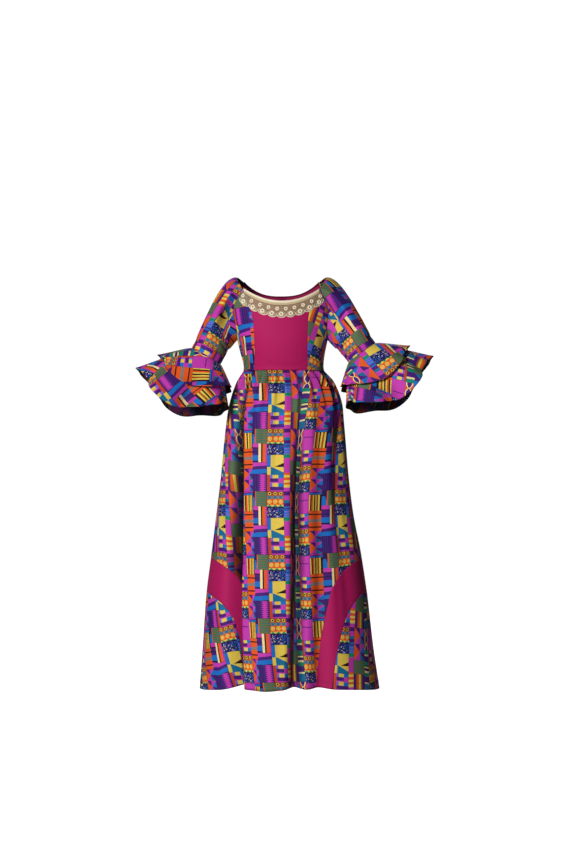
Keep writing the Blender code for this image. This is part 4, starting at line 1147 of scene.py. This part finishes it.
for arm in ARMS:
    sign = -1 if arm.x < 0 else 1
    for flounce in FLOUNCES:
        angle = np.linspace(0, -2 * math.pi * sign, FLOUNCE_COLUMNS + 1)[None, :]
        s = (np.linspace(0, 1, FLOUNCE_ROWS + 1) ** 0.9)[:, None]
        points = flounce_points(arm, flounce, angle + 0 * s, s + 0 * angle)
        length = np.linalg.norm(np.diff(points, axis=0), axis=-1).mean(axis=1)
        length = np.concatenate([[0], np.cumsum(length)])[:, None]
        inner = ELBOW_RADIUS / RING_SHARE
        turned = RING_SHARE * angle * sign + flounce.turned
        cut = np.stack([(inner + length) * np.cos(turned), (inner + length) * np.sin(turned)], axis=-1)
        points = points[:, :-1]
        hem = np.clip((length - length[-1] + HEM_DEPTH) / HEM_EDGE, 0, 1)
        points = points + normals_of(points, ring=True) * (hem * HEM_SWELL)[..., None]
        name = f"flounce_{flounce.tier}_{arm.side}"
        made = lay_cloth("cloth_" + name, points, cut, printed_cotton, shaded_inside, ring=True)
        finish_cloth(made, [name])

# Lace collar
# Guipure lace in cream and taupe, sewn over the bodice front below the neck edge: a padded
# double satin band, fine net, a row of small eyelet rings and a row of scallops with large ones.
LACE_CLEAR, NET = 0.0006, 0.0005  # above the bodice, and the net's thickness
LACE_TOP_LEFT, LACE_TOP_RIGHT = -0.1285, 0.1255
LACE_END_LEFT, LACE_END_RIGHT = -0.1425, 0.1400
SCALLOPS, SCALLOP_TOP, SCALLOP_DEPTH, SCALLOP_POWER = 9, 0.0455, 0.0125, 0.4
SATIN_BAND, SATIN_PADDING = 0.0152, 0.0013
RingRow = namedtuple("RingRow", "count pitch centre drop radius cord")
SMALL_RINGS = RingRow(10, 0.0287, -0.0009, 0.0275, 0.0046, 0.0023)
LARGE_RINGS = RingRow(9, 0.0316, -0.0018, 0.0452, 0.0054, 0.0028)
LACE_CREAM, TAUPE, SHADE_BEIGE = ink(0xE9DCC0), ink(0xA08C6C), ink(0xC2AE88)


def thread_finish(name, colour, roughness, net=False):
    """Thread with fine twist; the net has holes between its threads."""
    material = bpy.data.materials.new(name)
    material.use_nodes = True
    tree = material.node_tree
    place = node(tree, "ShaderNodeTexCoord").outputs["Object"]
    twist = Reading(node(tree, "ShaderNodeTexNoise", {"Vector": place, "Scale": 900.0}).outputs[0])
    shade = node(tree, "ShaderNodeHueSaturation", {"Value": twist * 0.5 + 0.72, "Color": colour})
    raised = node(tree, "ShaderNodeBump", {"Strength": 0.4, "Distance": 0.0003, "Height": twist})
    finish = {
        "Base Color": shade.outputs[0],
        "Roughness": roughness,
        "Specular IOR Level": 0.25,
        "Normal": raised.outputs[0],
    }
    if net:
        mesh_size = {"Vector": place, "Scale": 520.0, "Randomness": 0.35}
        cells = node(tree, "ShaderNodeTexVoronoi", mesh_size, feature="DISTANCE_TO_EDGE")
        finish["Alpha"] = Reading(cells.outputs[0]) < 0.13
    fill(tree.nodes["Principled BSDF"], finish)
    return material


cream_thread = thread_finish("lace_cream", LACE_CREAM, 0.55)
taupe_thread = thread_finish("lace_taupe", TAUPE, 0.7)
taupe_net = thread_finish("lace_net", TAUPE, 0.7, net=True)
shadow_thread = thread_finish("lace_beige_shade", SHADE_BEIGE, 0.6)


def lace_place(x, drop, lift=0.0):
    """A point of the collar, its normal, and its direction across, below the neck edge at x."""
    def surface(x, drop):
        z = neck_height(FRONT_NECK, x) - drop
        return bodice_point(angle_of(x, z), z)

    x, drop = np.broadcast_arrays(np.asarray(x, float), np.asarray(drop, float))
    point, little = surface(x, drop), 0.0005
    across, down = surface(x + little, drop) - point, surface(x, drop + little) - point
    normal = unit(np.cross(down, across))
    return point + normal * (LACE_CLEAR + np.asarray(lift)[..., None]), normal, unit(across)


def lace_edge(x):
    """Drop of the scalloped edge at x, which is measured along the collar's lower line."""
    pitch = (LACE_END_RIGHT - LACE_END_LEFT) / SCALLOPS
    off = ((x - LACE_END_LEFT) / pitch) % 1.0 * 2 - 1
    return SCALLOP_TOP + SCALLOP_DEPTH * np.clip(1 - off**2, 0, 1) ** SCALLOP_POWER


def lace_piece(made):
    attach(made, "dress")
    return made


LACE_COLUMNS, LACE_ROWS = SCALLOPS * 22, 24
low_x = np.linspace(LACE_END_LEFT, LACE_END_RIGHT, LACE_COLUMNS + 1)
top_x = np.linspace(LACE_TOP_LEFT, LACE_TOP_RIGHT, LACE_COLUMNS + 1)
down_lace = np.linspace(0, 1, LACE_ROWS + 1)[:, None]
lace_x, lace_drop = top_x + (low_x - top_x) * down_lace, lace_edge(low_x) * down_lace
net_points = lace_place(lace_x, lace_drop, 0 * lace_x + NET)[0]
net_cut = np.stack([lace_x, lace_drop], axis=-1)
lace_net = lay_cloth("lace_net", net_points, net_cut, taupe_net, taupe_net, thickness=NET)

# The satin band narrows a little as it goes down. It is padded in two humps, and its threads rib it.
RIB_HEIGHT, RIB_PITCH, SATIN_CLOTH, SATIN_NARROWING, HUMP_POWER = 0.00012, 0.0011, 0.0006, 0.02, 0.6
band_drop = down_lace * SATIN_BAND
band_x = top_x[None, :] * (1 - SATIN_NARROWING * down_lace)
humps = SATIN_PADDING * np.abs(np.sin(2 * math.pi * down_lace)) ** HUMP_POWER
ribs = RIB_HEIGHT * np.sin(band_x * 2 * math.pi / RIB_PITCH)
band_points = lace_place(band_x, band_drop, NET + humps + ribs)[0]
band_cut = np.stack([band_x, band_drop + 0 * band_x], axis=-1)
satin_band = lay_cloth(
    "lace_satin_band", band_points, band_cut, cream_thread, shadow_thread, thickness=SATIN_CLOTH
)
# The lower hump takes the darker beige thread, as does the band's inside: painted shade under the upper
# hump.
lower_half = len(band_drop) // 2 * LACE_COLUMNS
for face in satin_band.data.polygons:
    face.material_index = int(face.index >= lower_half)


def growing_tree(name, inputs):
    """An empty Geometry Nodes tree with a mesh in and out and named inputs."""
    tree = bpy.data.node_groups.new(name, "GeometryNodeTree")
    tree.interface.new_socket("Geometry", in_out="INPUT", socket_type="NodeSocketGeometry")
    for label, kind in inputs:
        tree.interface.new_socket(label, in_out="INPUT", socket_type="NodeSocket" + kind)
    tree.interface.new_socket("Geometry", in_out="OUTPUT", socket_type="NodeSocketGeometry")
    return tree, tree.nodes.new("NodeGroupInput"), tree.nodes.new("NodeGroupOutput")


def stand_instances(tree, points, instance, material, output):
    """Puts the instance on each point, turned to its `along` and `out` vectors, and realizes it."""
    along, out = (
        node(tree, "GeometryNodeInputNamedAttribute", {"Name": name}, data_type="FLOAT_VECTOR").outputs[0]
        for name in ("along", "out")
    )
    align = "FunctionNodeAlignRotationToVector"
    turned = node(tree, align, {"Vector": along}, axis="X")
    turned = node(tree, align, {"Rotation": turned.outputs[0], "Vector": out}, axis="Z", pivot_axis="X")
    standing = {"Points": points, "Instance": instance, "Rotation": turned.outputs[0]}
    placed = node(tree, "GeometryNodeInstanceOnPoints", standing)
    real = node(tree, "GeometryNodeRealizeInstances", {"Geometry": placed.outputs[0]})
    dressed = node(tree, "GeometryNodeSetMaterial", {"Geometry": real.outputs[0], "Material": material})
    tree.links.new(dressed.outputs[0], output.inputs[0])


def ring_tree():
    """A cord ring on each vertex, lying flat on the lace."""
    sizes = (("Ring radius", "Float"), ("Cord radius", "Float"), ("Cord", "Material"))
    tree, given, made = growing_tree("cord rings", sizes)
    circle = "GeometryNodeCurvePrimitiveCircle"
    path = node(tree, circle, {"Resolution": 28, "Radius": given.outputs["Ring radius"]}).outputs[0]
    cord = node(tree, circle, {"Resolution": 10, "Radius": given.outputs["Cord radius"]}).outputs[0]
    ring = node(tree, "GeometryNodeCurveToMesh", {"Curve": path, "Profile Curve": cord})
    smooth = node(tree, "GeometryNodeSetShadeSmooth", {"Geometry": ring.outputs[0]})
    points = node(tree, "GeometryNodeMeshToPoints", {"Mesh": given.outputs[0]})
    stand_instances(tree, points.outputs[0], smooth.outputs[0], given.outputs["Cord"], made)
    return tree


def points_object(name, points, along, out, edges=()):
    """A mesh of vertices and edges that carries each vertex's direction and normal."""
    mesh = bpy.data.meshes.new(name)
    mesh.from_pydata(np.asarray(points).reshape(-1, 3).tolist(), list(edges), [])
    for label, values in (("along", along), ("out", out)):
        layer = mesh.attributes.new(label, "FLOAT_VECTOR", "POINT")
        layer.data.foreach_set("vector", np.asarray(values, np.float32).reshape(-1))
    host = bpy.data.objects.new(name, mesh)
    scene.collection.objects.link(host)
    return host


def grown(host, tree, **sizes):
    """Runs the tree on the host and turns what it makes into the host's plain mesh."""
    modifier = host.modifiers.new("grow", "NODES")
    modifier.node_group = tree
    labels = {item.name: item.identifier for item in tree.interface.items_tree if item.in_out == "INPUT"}
    for label, value in sizes.items():
        modifier[labels[label.replace("_", " ")]] = value
    bpy.context.view_layer.update()
    made = host.evaluated_get(bpy.context.evaluated_depsgraph_get())
    mesh = bpy.data.meshes.new_from_object(made)
    host.modifiers.remove(modifier)
    bare = host.data
    host.data = mesh
    bpy.data.meshes.remove(bare)
    mesh.name = host.name
    return host


cord_rings = ring_tree()
OUTER_RING, FINE_CORD = LARGE_RINGS.radius * 1.85, 0.0006
for label, row, radius, cord, thread in (
    ("small_eyelets", SMALL_RINGS, SMALL_RINGS.radius, SMALL_RINGS.cord, cream_thread),
    ("large_eyelets", LARGE_RINGS, LARGE_RINGS.radius, LARGE_RINGS.cord, cream_thread),
    ("outer_rings", LARGE_RINGS, OUTER_RING, FINE_CORD, taupe_thread),
):
    first = row.centre - row.pitch * (row.count - 1) / 2
    centres = first + row.pitch * np.arange(row.count)
    place, out, along = lace_place(centres, 0 * centres + row.drop, 0 * centres + NET)
    host = points_object("lace_" + label, place, along, out)
    lace_piece(grown(host, cord_rings, Ring_radius=radius, Cord_radius=cord, Cord=thread))

# Cord along the scalloped edge, and the bars from each large eyelet to it
CORD_INSET = 0.0006  # from the net's edge to the cord's middle
edge_turns = np.linspace(0, 1, SCALLOPS * 26 + 1)
edge_x = LACE_END_LEFT + (LACE_END_RIGHT - LACE_END_LEFT) * edge_turns
edge_place = lace_place(edge_x, lace_edge(edge_x) - CORD_INSET, 0 * edge_x + NET)[0]


def cord_mesh(name, paths, radius, thread, sides=8):
    """One mesh of round cords along several lists of points."""
    shape = bmesh.new()
    for path in paths:
        path = np.asarray(path)
        along = unit(np.gradient(path, axis=0))
        side = unit(np.cross(along, (0.0, -1.0, 0.0)))
        over = np.cross(side, along)
        turn = np.linspace(0, 2 * math.pi, sides, endpoint=False)[None, :, None]
        skin = path[:, None] + radius * (side[:, None] * np.cos(turn) + over[:, None] * np.sin(turn))
        made = [[shape.verts.new(point) for point in ring] for ring in skin]
        for low, high in zip(made, made[1:]):
            for k in range(sides):
                shape.faces.new((low[k], high[k], high[(k + 1) % sides], low[(k + 1) % sides]))
        shape.faces.new(made[0])
        shape.faces.new(made[-1][::-1])
    bmesh.ops.recalc_face_normals(shape, faces=shape.faces)
    mesh = bpy.data.meshes.new(name)
    shape.to_mesh(mesh)
    shape.free()
    mesh.shade_smooth()
    mesh.materials.append(thread)
    made = bpy.data.objects.new(name, mesh)
    scene.collection.objects.link(made)
    return made


SCALLOP_CORD, BARS_EACH, BAR_END = 0.0012, 12, 0.0122
lace_piece(cord_mesh("lace_scallop_cord", [edge_place], SCALLOP_CORD, cream_thread))
bars = []
for k in range(SCALLOPS):
    centre_x = LARGE_RINGS.centre + LARGE_RINGS.pitch * (k - (LARGE_RINGS.count - 1) / 2)
    for turn in np.linspace(math.radians(-20), math.radians(200), BARS_EACH):
        reach = np.linspace(LARGE_RINGS.radius + 0.001, BAR_END, 5)
        x, drop = centre_x + reach * math.cos(turn), LARGE_RINGS.drop + reach * math.sin(turn)
        bars.append(lace_place(x, drop, 0 * x + NET)[0])
lace_piece(cord_mesh("lace_bars", bars, FINE_CORD, cream_thread, sides=6))
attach(lace_net, "dress")
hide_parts("lace_collar")
lace_piece(satin_band)

# Stitches
# Machine topstitching: two rows on the skirt's hem, one along both edges of each band and one on
# each flounce's hem. Every stitch is a short raised thread that dips at both ends.
STITCH_PITCH, STITCH_LENGTH, STITCH_RADIUS, STITCH_LIFT = 0.0030, 0.0022, 0.00032, 0.0002
LITTLE = 0.0015  # a short step round or down the cloth, in radians or as a share of its length
HEM_SHARES, FLOUNCE_SHARE = (0.978, 0.981), 0.945  # where the rows lie, down the skirt and a flounce
BAND_OFFSET, BAND_END = 0.4, 0.995  # degrees from the band's edge, and the share where the rows end
thread_dark = thread_finish("thread_purple", ink(0x3A1450), 0.6)
thread_pink = thread_finish("thread_magenta", ink(0xC4347A), 0.6)


def stitch_tree():
    """Stitches at an even pitch along every chain of edges."""
    sizes = (("Pitch", "Float"), ("Length", "Float"), ("Radius", "Float"), ("Thread", "Material"))
    tree, given, made = growing_tree("stitches", sizes)
    pitch, length, radius, thread_kind = (given.outputs[name] for name, _ in sizes)
    path = node(tree, "GeometryNodeMeshToCurve", {"Mesh": given.outputs[0]}).outputs[0]
    even = node(tree, "GeometryNodeResampleCurve", {"Curve": path, "Length": pitch}, mode="LENGTH")
    spots = node(tree, "GeometryNodeCurveToPoints", {"Curve": even.outputs[0]}, mode="EVALUATED")
    thread = node(tree, "GeometryNodeMeshUVSphere", {"Segments": 6, "Rings": 4, "Radius": radius}).outputs[0]
    half_length = Reading(length) / Reading(radius) * 0.5
    size = node(tree, "ShaderNodeCombineXYZ", {0: half_length, 1: 1.0, 2: 1.0}).outputs[0]
    stretched = node(tree, "GeometryNodeTransform", {"Geometry": thread, "Scale": size})
    smooth = node(tree, "GeometryNodeSetShadeSmooth", {"Geometry": stretched.outputs[0]})
    stand_instances(tree, spots.outputs[0], smooth.outputs[0], thread_kind, made)
    return tree


def row_of(points, down, across):
    """A stitch row's points, directions and normals, from short steps down and across the cloth."""
    normals = unit(np.cross(down, across))
    return points + normals * STITCH_LIFT, unit(np.gradient(points, axis=0)), normals


def skirt_row(angles, shares):
    """A row across or along the skirt at (angle, share) places."""
    point = skirt_point(angles, shares)
    down = skirt_point(angles, shares + LITTLE) - point
    return row_of(point, down, skirt_point(angles + LITTLE, shares) - point)


def sew(name, rows, thread):
    """Stitches along all the rows, as one piece."""
    points, along, out, edges, first = [], [], [], [], 0
    for row in rows:
        for kept, values in zip((points, along, out), row):
            kept.append(values)
        edges += [(first + k, first + k + 1) for k in range(len(row[0]) - 1)]
        first += len(row[0])
    host = points_object(name, np.concatenate(points), np.concatenate(along), np.concatenate(out), edges)
    grown(host, stitches, Pitch=STITCH_PITCH, Length=STITCH_LENGTH, Radius=STITCH_RADIUS, Thread=thread)
    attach(host, "dress")
    return host


stitches = stitch_tree()
all_round = np.linspace(-math.pi, math.pi, 1400)
hem_rows = [skirt_row(all_round, 0 * all_round + share) for share in HEM_SHARES]
sew("stitches_hem", hem_rows, thread_dark)
band_rows = []
for sign, side in SIDES:
    for edge, off in ((BAND_UPPER, BAND_OFFSET), (BAND_LOWER, -BAND_OFFSET)):
        shares = edge[0].share + (BAND_END - edge[0].share) * np.linspace(0.01, 1, 160) ** 1.15
        angles = band_edge(edge, side, shares)[:, 0] + sign * math.radians(off)
        band_rows.append(skirt_row(angles, shares))
sew("stitches_bands", band_rows, thread_pink)
flounce_rows = []
for arm in ARMS:
    sign = -1 if arm.x < 0 else 1
    for flounce in FLOUNCES:
        angle = np.linspace(0, 2 * math.pi * sign, 900)
        share = 0 * angle + FLOUNCE_SHARE
        here = flounce_points(arm, flounce, angle, share)
        down = flounce_points(arm, flounce, angle, share + LITTLE) - here
        across = flounce_points(arm, flounce, angle + LITTLE * sign, share) - here
        flounce_rows.append(row_of(here, down, across))
sew("stitches_flounces", flounce_rows, thread_dark)

# Zip
# An invisible zip down the centre back: only the slider and its pull show, lacquered to match
# the cloth. Its tapes lie behind the seam.
zip_metal = bpy.data.materials.new("zip_metal")
zip_metal.use_nodes = True
where = node(zip_metal.node_tree, "ShaderNodeTexCoord").outputs["Object"]
scuffs = node(zip_metal.node_tree, "ShaderNodeTexNoise", {"Vector": where, "Scale": 700.0})
lacquer = {
    "Base Color": ink(0x8E1450),
    "Metallic": 0.35,
    "Roughness": Reading(scuffs.outputs[0]) * 0.3 + 0.22,
}
fill(zip_metal.node_tree.nodes["Principled BSDF"], lacquer)
for name in ("zip_slider", "zip_pull"):
    for slot_of in bpy.data.objects[name].material_slots:
        slot_of.material = zip_metal

TAPE_WIDTH, TAPE_CLOTH, TAPE_BEHIND, TAPE_TOP, ZIP_END_Z = 0.028, 0.0005, 0.0026, 0.004, -0.500
NEAR_BACK = 0.3  # radians on each side of the centre back
tape_z = np.linspace(BACK_NECK.lowest - TAPE_TOP, ZIP_END_Z, 90)[:, None]
tape_x = np.linspace(TAPE_WIDTH / 2, -TAPE_WIDTH / 2, 15)[None, :]
tape_share = np.clip((WAIST_Z - tape_z) / (WAIST_Z - HEM_SIDE_Z), 0, 1)
# The backs' outer face near the centre back, so that the tapes stay behind its gathers.
near_back = BACK_TURN - np.linspace(-NEAR_BACK, NEAR_BACK, 61)[None, :]
backs = bodice_point(near_back, tape_z), skirt_point(near_back, tape_share)
wall = np.where((tape_z > WAIST_Z)[..., None], *backs)
behind = np.array([np.interp(tape_x[0], row[:, 0], row[:, 1]) for row in wall])
tape_points = np.stack(np.broadcast_arrays(tape_x, behind - TAPE_BEHIND, tape_z), axis=-1)
tape_cut = np.stack(np.broadcast_arrays(tape_x, -tape_z), axis=-1)
# The tapes take the darker copy of the plain cotton: painted shade behind the seam.
zip_tape = lay_cloth("zip_tape", tape_points, tape_cut, plain_shaded_inside, plain_shaded_inside, thickness=TAPE_CLOTH)
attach(zip_tape, "dress")
